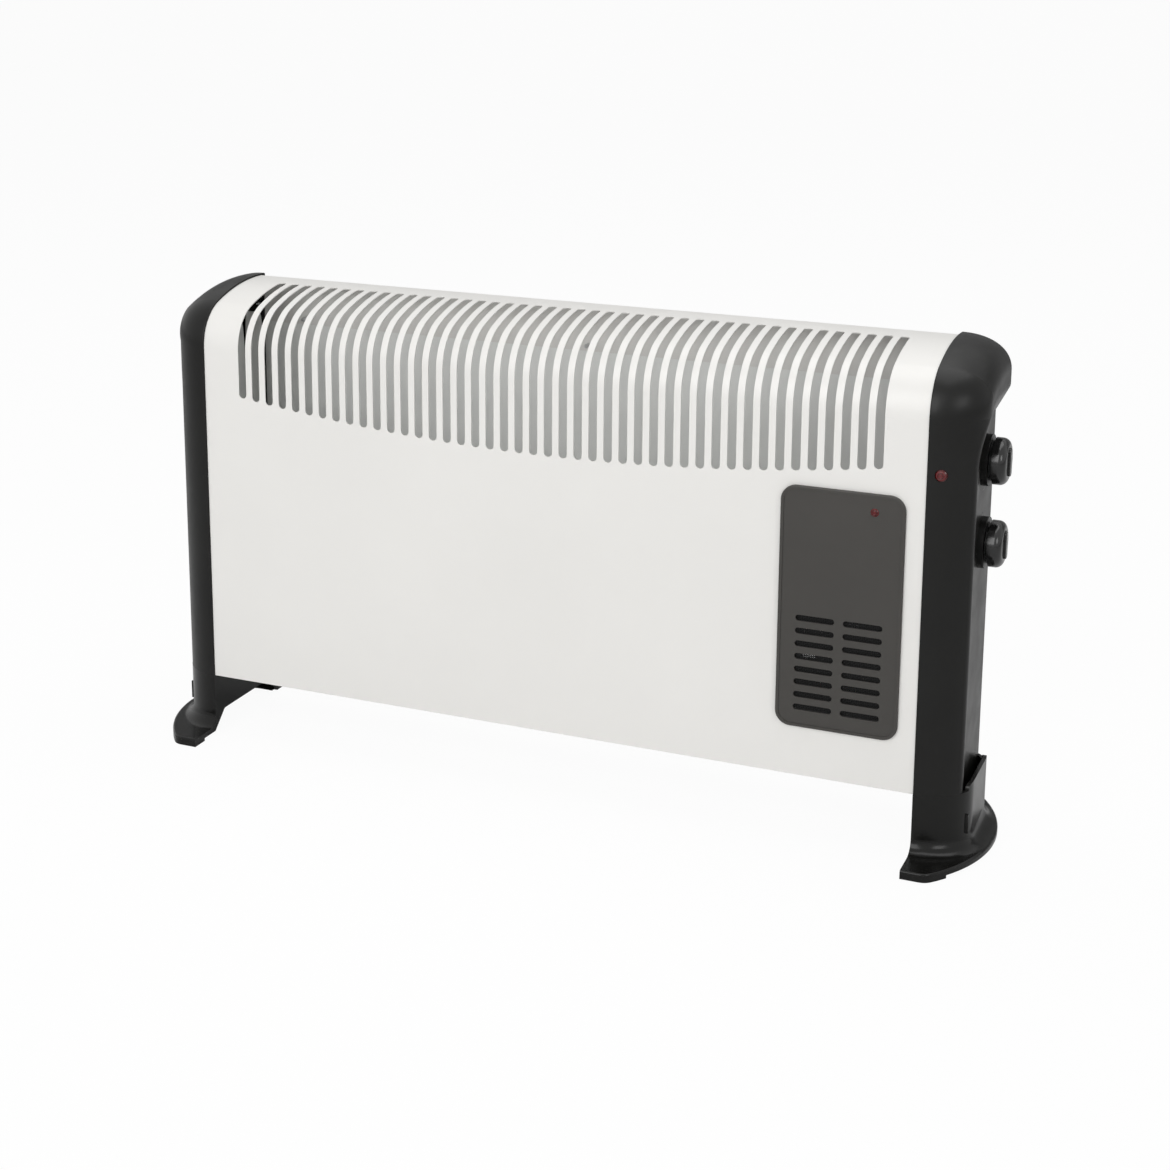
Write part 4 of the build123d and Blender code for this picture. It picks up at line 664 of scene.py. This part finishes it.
class HEATER_OT_dials(bpy.types.Operator):
    """Polishes the dials and adds a pointer on each and a printed scale round it"""
    bl_idname = "heater.dials"
    bl_label = "Dials"

    def execute(self, context):
        colours = context.scene.heater_colours
        sizes = context.scene.heater_sizes
        dress(glossy_moulded("dial_plastic", colours.dial, 0.16), "thermostat_knob", "selector_knob")
        dress(turned_steel("spindle_steel", colours.steel), "thermostat_spindle", "selector_spindle")
        ink = printed_paint("dial_printing", colours.printing)
        scale_ink = printed_paint("scale_printing", colours.scale)
        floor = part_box("control_nuts")[0][0]
        for dial, body in (("thermostat_knob", "thermostat_dial"), ("selector_knob", "selector_dial")):
            line = middle(dial) + np.array((0, 0, sizes.pointer_length * POINTER_REACH))
            line[0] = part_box(dial)[1][0]
            pointer = pebble(line, (*POINTER_HALF, sizes.pointer_length / 2), 3)
            add_piece(dial + "_pointer", [pointer], ink, body)
            ring = middle(dial)
            ring[0] = floor
            if dial == "thermostat_knob":
                arcs = [dial_arc(ring, sizes.scale_radius, THERMOSTAT_ARC_START, sizes.scale_width,
                                 PRINT_LIFT, *THERMOSTAT_ARC)]
            else:
                width = sizes.scale_width * SELECTOR_MARK_SHARE
                arcs = [dial_arc(ring, sizes.scale_radius, width, width, PRINT_LIFT, start,
                                 start + SELECTOR_MARK_LENGTH, rows=17) for start in SELECTOR_MARKS]
            add_piece(dial.replace("knob", "scale"), arcs, scale_ink, "heater")
        return {"FINISHED"}


class HEATER_OT_fasteners(bpy.types.Operator):
    """Plates the screws and the nuts"""
    bl_idname = "heater.fasteners"
    bl_label = "Screws and nuts"

    def execute(self, context):
        dress(turned_steel("screw_steel", context.scene.heater_colours.steel, 1400.0),
              "back_screws", "cap_screws", "base_screws", "foot_screws", "control_nuts")
        return {"FINISHED"}


class HEATER_OT_elements(bpy.types.Operator):
    """Finishes the heating elements, their brackets, bushes and shield, and lines the left end cap"""
    bl_idname = "heater.elements"
    bl_label = "Heating elements"

    def execute(self, context):
        colours = context.scene.heater_colours
        dress(extruded_aluminium("element_aluminium", colours.aluminium),
              "upper_element", "lower_element")
        dress(rolled_sheet("bracket_steel", colours.steel, (1, 1, 0.2), roughness=0.36, spangle=60.0),
              "left_element_bracket", "right_element_bracket")
        dress(rolled_sheet("shield_steel", shade(colours.steel, 1.1), (0.15, 1, 1), roughness=0.24),
              "heat_shield")
        dress(glazed_ceramic("bush_ceramic", colours.ceramic), "element_bushes")
        plates = [pressed_plate(**LINER_PLATE), pressed_plate(**LINER_WING)]
        liner = enamel("liner_enamel", colours.back)
        add_piece("left_end_liner", plates, liner, "heater")
        return {"FINISHED"}


class HEATER_OT_controls(bpy.types.Operator):
    """Finishes the thermostat, the selector, the cut-out and the terminal block"""
    bl_idname = "heater.controls"
    bl_label = "Controls and terminals"

    def execute(self, context):
        colours = context.scene.heater_colours
        dress(moulded("control_moulding", colours.control, roughness=0.42, grain=800.0, depth=0.00003),
              "thermostat", "selector_switch", "thermal_cutout")
        dress(moulded("terminal_moulding", colours.terminal, roughness=0.38, grain=700.0, depth=0.00002,
                      drift=0.03), "terminal_block")
        return {"FINISHED"}


class HEATER_OT_fan(bpy.types.Operator):
    """Finishes the fan, its shroud and its motor"""
    bl_idname = "heater.fan"
    bl_label = "Fan and motor"

    def execute(self, context):
        colours = context.scene.heater_colours
        dress(moulded("fan_moulding", colours.fan, roughness=0.5, grain=700.0, depth=0.00004),
              "fan_shroud", "fan_wheel")
        dress(turned_steel("shaft_steel", colours.steel), "fan_shaft")
        dress(laminations("motor_steel", colours.motor), "motor_stator")
        dress(wound_tape("coil_tape", colours.coil), "motor_coil")
        dress(cast_metal("bridge_metal", colours.bridge), "front_motor_bridge", "rear_motor_bridge")
        return {"FINISHED"}


class HEATER_OT_wiring(bpy.types.Operator):
    """Sleeves the leads and adds the insulating sleeves on their terminals"""
    bl_idname = "heater.wiring"
    bl_label = "Wiring"

    def execute(self, context):
        colours = context.scene.heater_colours
        dress(sleeving("lead_sleeving", colours.lead), "internal_wiring")
        plastic = moulded("sleeve_plastic", colours.sleeve, roughness=0.3, grain=900.0, depth=0.00001,
                          drift=0.04)
        length, thickness = SLEEVE_HALF
        half = (length, context.scene.heater_sizes.sleeve_width * SLEEVE_FIT, thickness)
        shapes = []
        for control, places in TERMINALS.items():
            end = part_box(control)[0][0] + SLEEVE_OFFSET
            centre = middle(control)
            shapes += [pebble((end, centre[1] + deep, centre[2] + high), half, 5)
                       for deep, high in places]
        add_piece("terminal_sleeves", shapes, plastic, "heater")
        return {"FINISHED"}


class HEATER_OT_studio(bpy.types.Operator):
    """Sets up the floor, the lights, the surroundings and the camera"""
    bl_idname = "heater.studio"
    bl_label = "Studio"

    def execute(self, context):
        settings = context.scene.heater_studio
        self.add_floor(settings)
        self.add_world(context, settings)
        for name, place, size, power in LIGHTS:
            self.add_light(name, place, size, getattr(settings, power))
        self.add_camera(context, settings)
        context.scene.view_settings.view_transform = "Standard"
        return {"FINISHED"}

    def add_floor(self, settings):
        """Pale paper that lights the heater as paper does, and looks nearly plain white itself."""
        material = bpy.data.materials.new("studio_paper")
        material.use_nodes = True
        tree = material.node_tree
        tree.nodes.clear()
        rays = shader_node(tree, "LightPath")
        grain = shader_node(tree, "TexNoise", {"Scale": 40.0})
        tone = shader_node(tree, "ValToRGB", {"Fac": grain.outputs[0]})
        tone.color_ramp.elements[0].color = (0.86, 0.86, 0.86, 1)
        tone.color_ramp.elements[1].color = (0.88, 0.88, 0.88, 1)
        paper = shader_node(tree, "BsdfDiffuse", {"Color": tone.outputs[0]})
        plain = shader_node(tree, "Emission", {"Color": (1, 1, 1, 1), "Strength": 1.0})
        share = shader_node(tree, "Math", {0: rays.outputs["Is Camera Ray"], 1: settings.floor_white},
                            operation="MULTIPLY")
        seen = shader_node(tree, "MixShader", {
            0: share.outputs[0], 1: paper.outputs[0], 2: plain.outputs[0]})
        shader_node(tree, "OutputMaterial", {"Surface": seen.outputs[0]})
        sweep = studio_sweep(width=16.0, front=-6.0, back=7.0, height=5.0, bend=1.5)
        make_object("studio_floor", [sweep], material)

    def add_world(self, context, settings):
        """White surroundings, which light the heater only as much as the ambient setting says."""
        world = bpy.data.worlds.new("studio_world")
        world.use_nodes = True
        tree = world.node_tree
        tree.nodes.clear()
        rays = shader_node(tree, "LightPath")
        seen = rays.outputs["Is Camera Ray"]
        for kind in ("Is Glossy Ray", "Is Transmission Ray"):
            seen = shader_node(tree, "Math", {0: seen, 1: rays.outputs[kind]},
                               operation="MAXIMUM").outputs[0]
        strength = shader_node(tree, "MapRange", {
            "Value": seen, "To Min": settings.ambient, "To Max": 1.0})
        plain = shader_node(tree, "Background", {"Color": (1, 1, 1, 1), "Strength": strength.outputs[0]})
        shader_node(tree, "OutputWorld", {"Surface": plain.outputs[0]})
        context.scene.world = world

    def add_light(self, name, place, size, power):
        """Square light that faces the heater."""
        light = bpy.data.lights.new(name, "AREA")
        light.shape = "SQUARE"
        light.size = size
        light.energy = power
        made = bpy.data.objects.new(name, light)
        made.location = place
        made.rotation_euler = (Vector(LIGHT_AIM) - Vector(place)).to_track_quat("-Z", "Y").to_euler()
        bpy.context.scene.collection.objects.link(made)

    def add_camera(self, context, settings):
        """Camera whose axes come from the yaw, pitch and roll."""
        yaw, pitch, roll = settings.yaw, settings.pitch, settings.roll
        ahead = Vector((-sin(yaw) * cos(pitch), cos(yaw) * cos(pitch), -sin(pitch)))
        level = Vector((cos(yaw), sin(yaw), 0))
        upright = level.cross(ahead)
        right = level * cos(roll) + upright * sin(roll)
        up = right.cross(ahead)
        camera = bpy.data.cameras.new("photo_camera")
        camera.sensor_width = SENSOR_WIDTH
        camera.lens = settings.lens
        camera.shift_x, camera.shift_y = settings.shift
        camera.clip_start = 0.01
        camera.clip_end = 100.0
        made = bpy.data.objects.new("photo_camera", camera)
        axes = Matrix((right, up, -ahead)).transposed().to_4x4()
        made.matrix_world = Matrix.Translation(Vector(settings.place)) @ axes
        context.scene.collection.objects.link(made)
        context.scene.camera = made


STEPS = (HEATER_OT_enamel, HEATER_OT_mouldings, HEATER_OT_cover, HEATER_OT_lamps, HEATER_OT_dials,
         HEATER_OT_fasteners, HEATER_OT_elements, HEATER_OT_controls, HEATER_OT_fan, HEATER_OT_wiring,
         HEATER_OT_studio)


class HEATER_PT_panel(bpy.types.Panel):
    """Lists the steps that dress the heater"""
    bl_idname = "HEATER_PT_panel"
    bl_label = "Convector heater"
    bl_space_type = "VIEW_3D"
    bl_region_type = "UI"
    bl_category = "Heater"

    def draw(self, context):
        scene = context.scene
        for step in STEPS:
            self.layout.operator(step.bl_idname)
        for group in (scene.heater_colours, scene.heater_sizes, scene.heater_studio):
            box = self.layout.box()
            for name in group.bl_rna.properties.keys():
                if name not in ("rna_type", "name"):
                    box.prop(group, name)


GROUPS = (HeaterColours, HeaterSizes, StudioSettings)


def register():
    for made in GROUPS + STEPS + (HEATER_PT_panel,):
        bpy.utils.register_class(made)
    bpy.types.Scene.heater_colours = bpy.props.PointerProperty(type=HeaterColours)
    bpy.types.Scene.heater_sizes = bpy.props.PointerProperty(type=HeaterSizes)
    bpy.types.Scene.heater_studio = bpy.props.PointerProperty(type=StudioSettings)


def unregister():
    del bpy.types.Scene.heater_studio
    del bpy.types.Scene.heater_sizes
    del bpy.types.Scene.heater_colours
    for made in reversed(GROUPS + STEPS + (HEATER_PT_panel,)):
        bpy.utils.unregister_class(made)


def main():
    register()
    for step in STEPS:
        group, name = step.bl_idname.split(".")
        getattr(getattr(bpy.ops, group), name)()


if __name__ == "__main__":
    main()
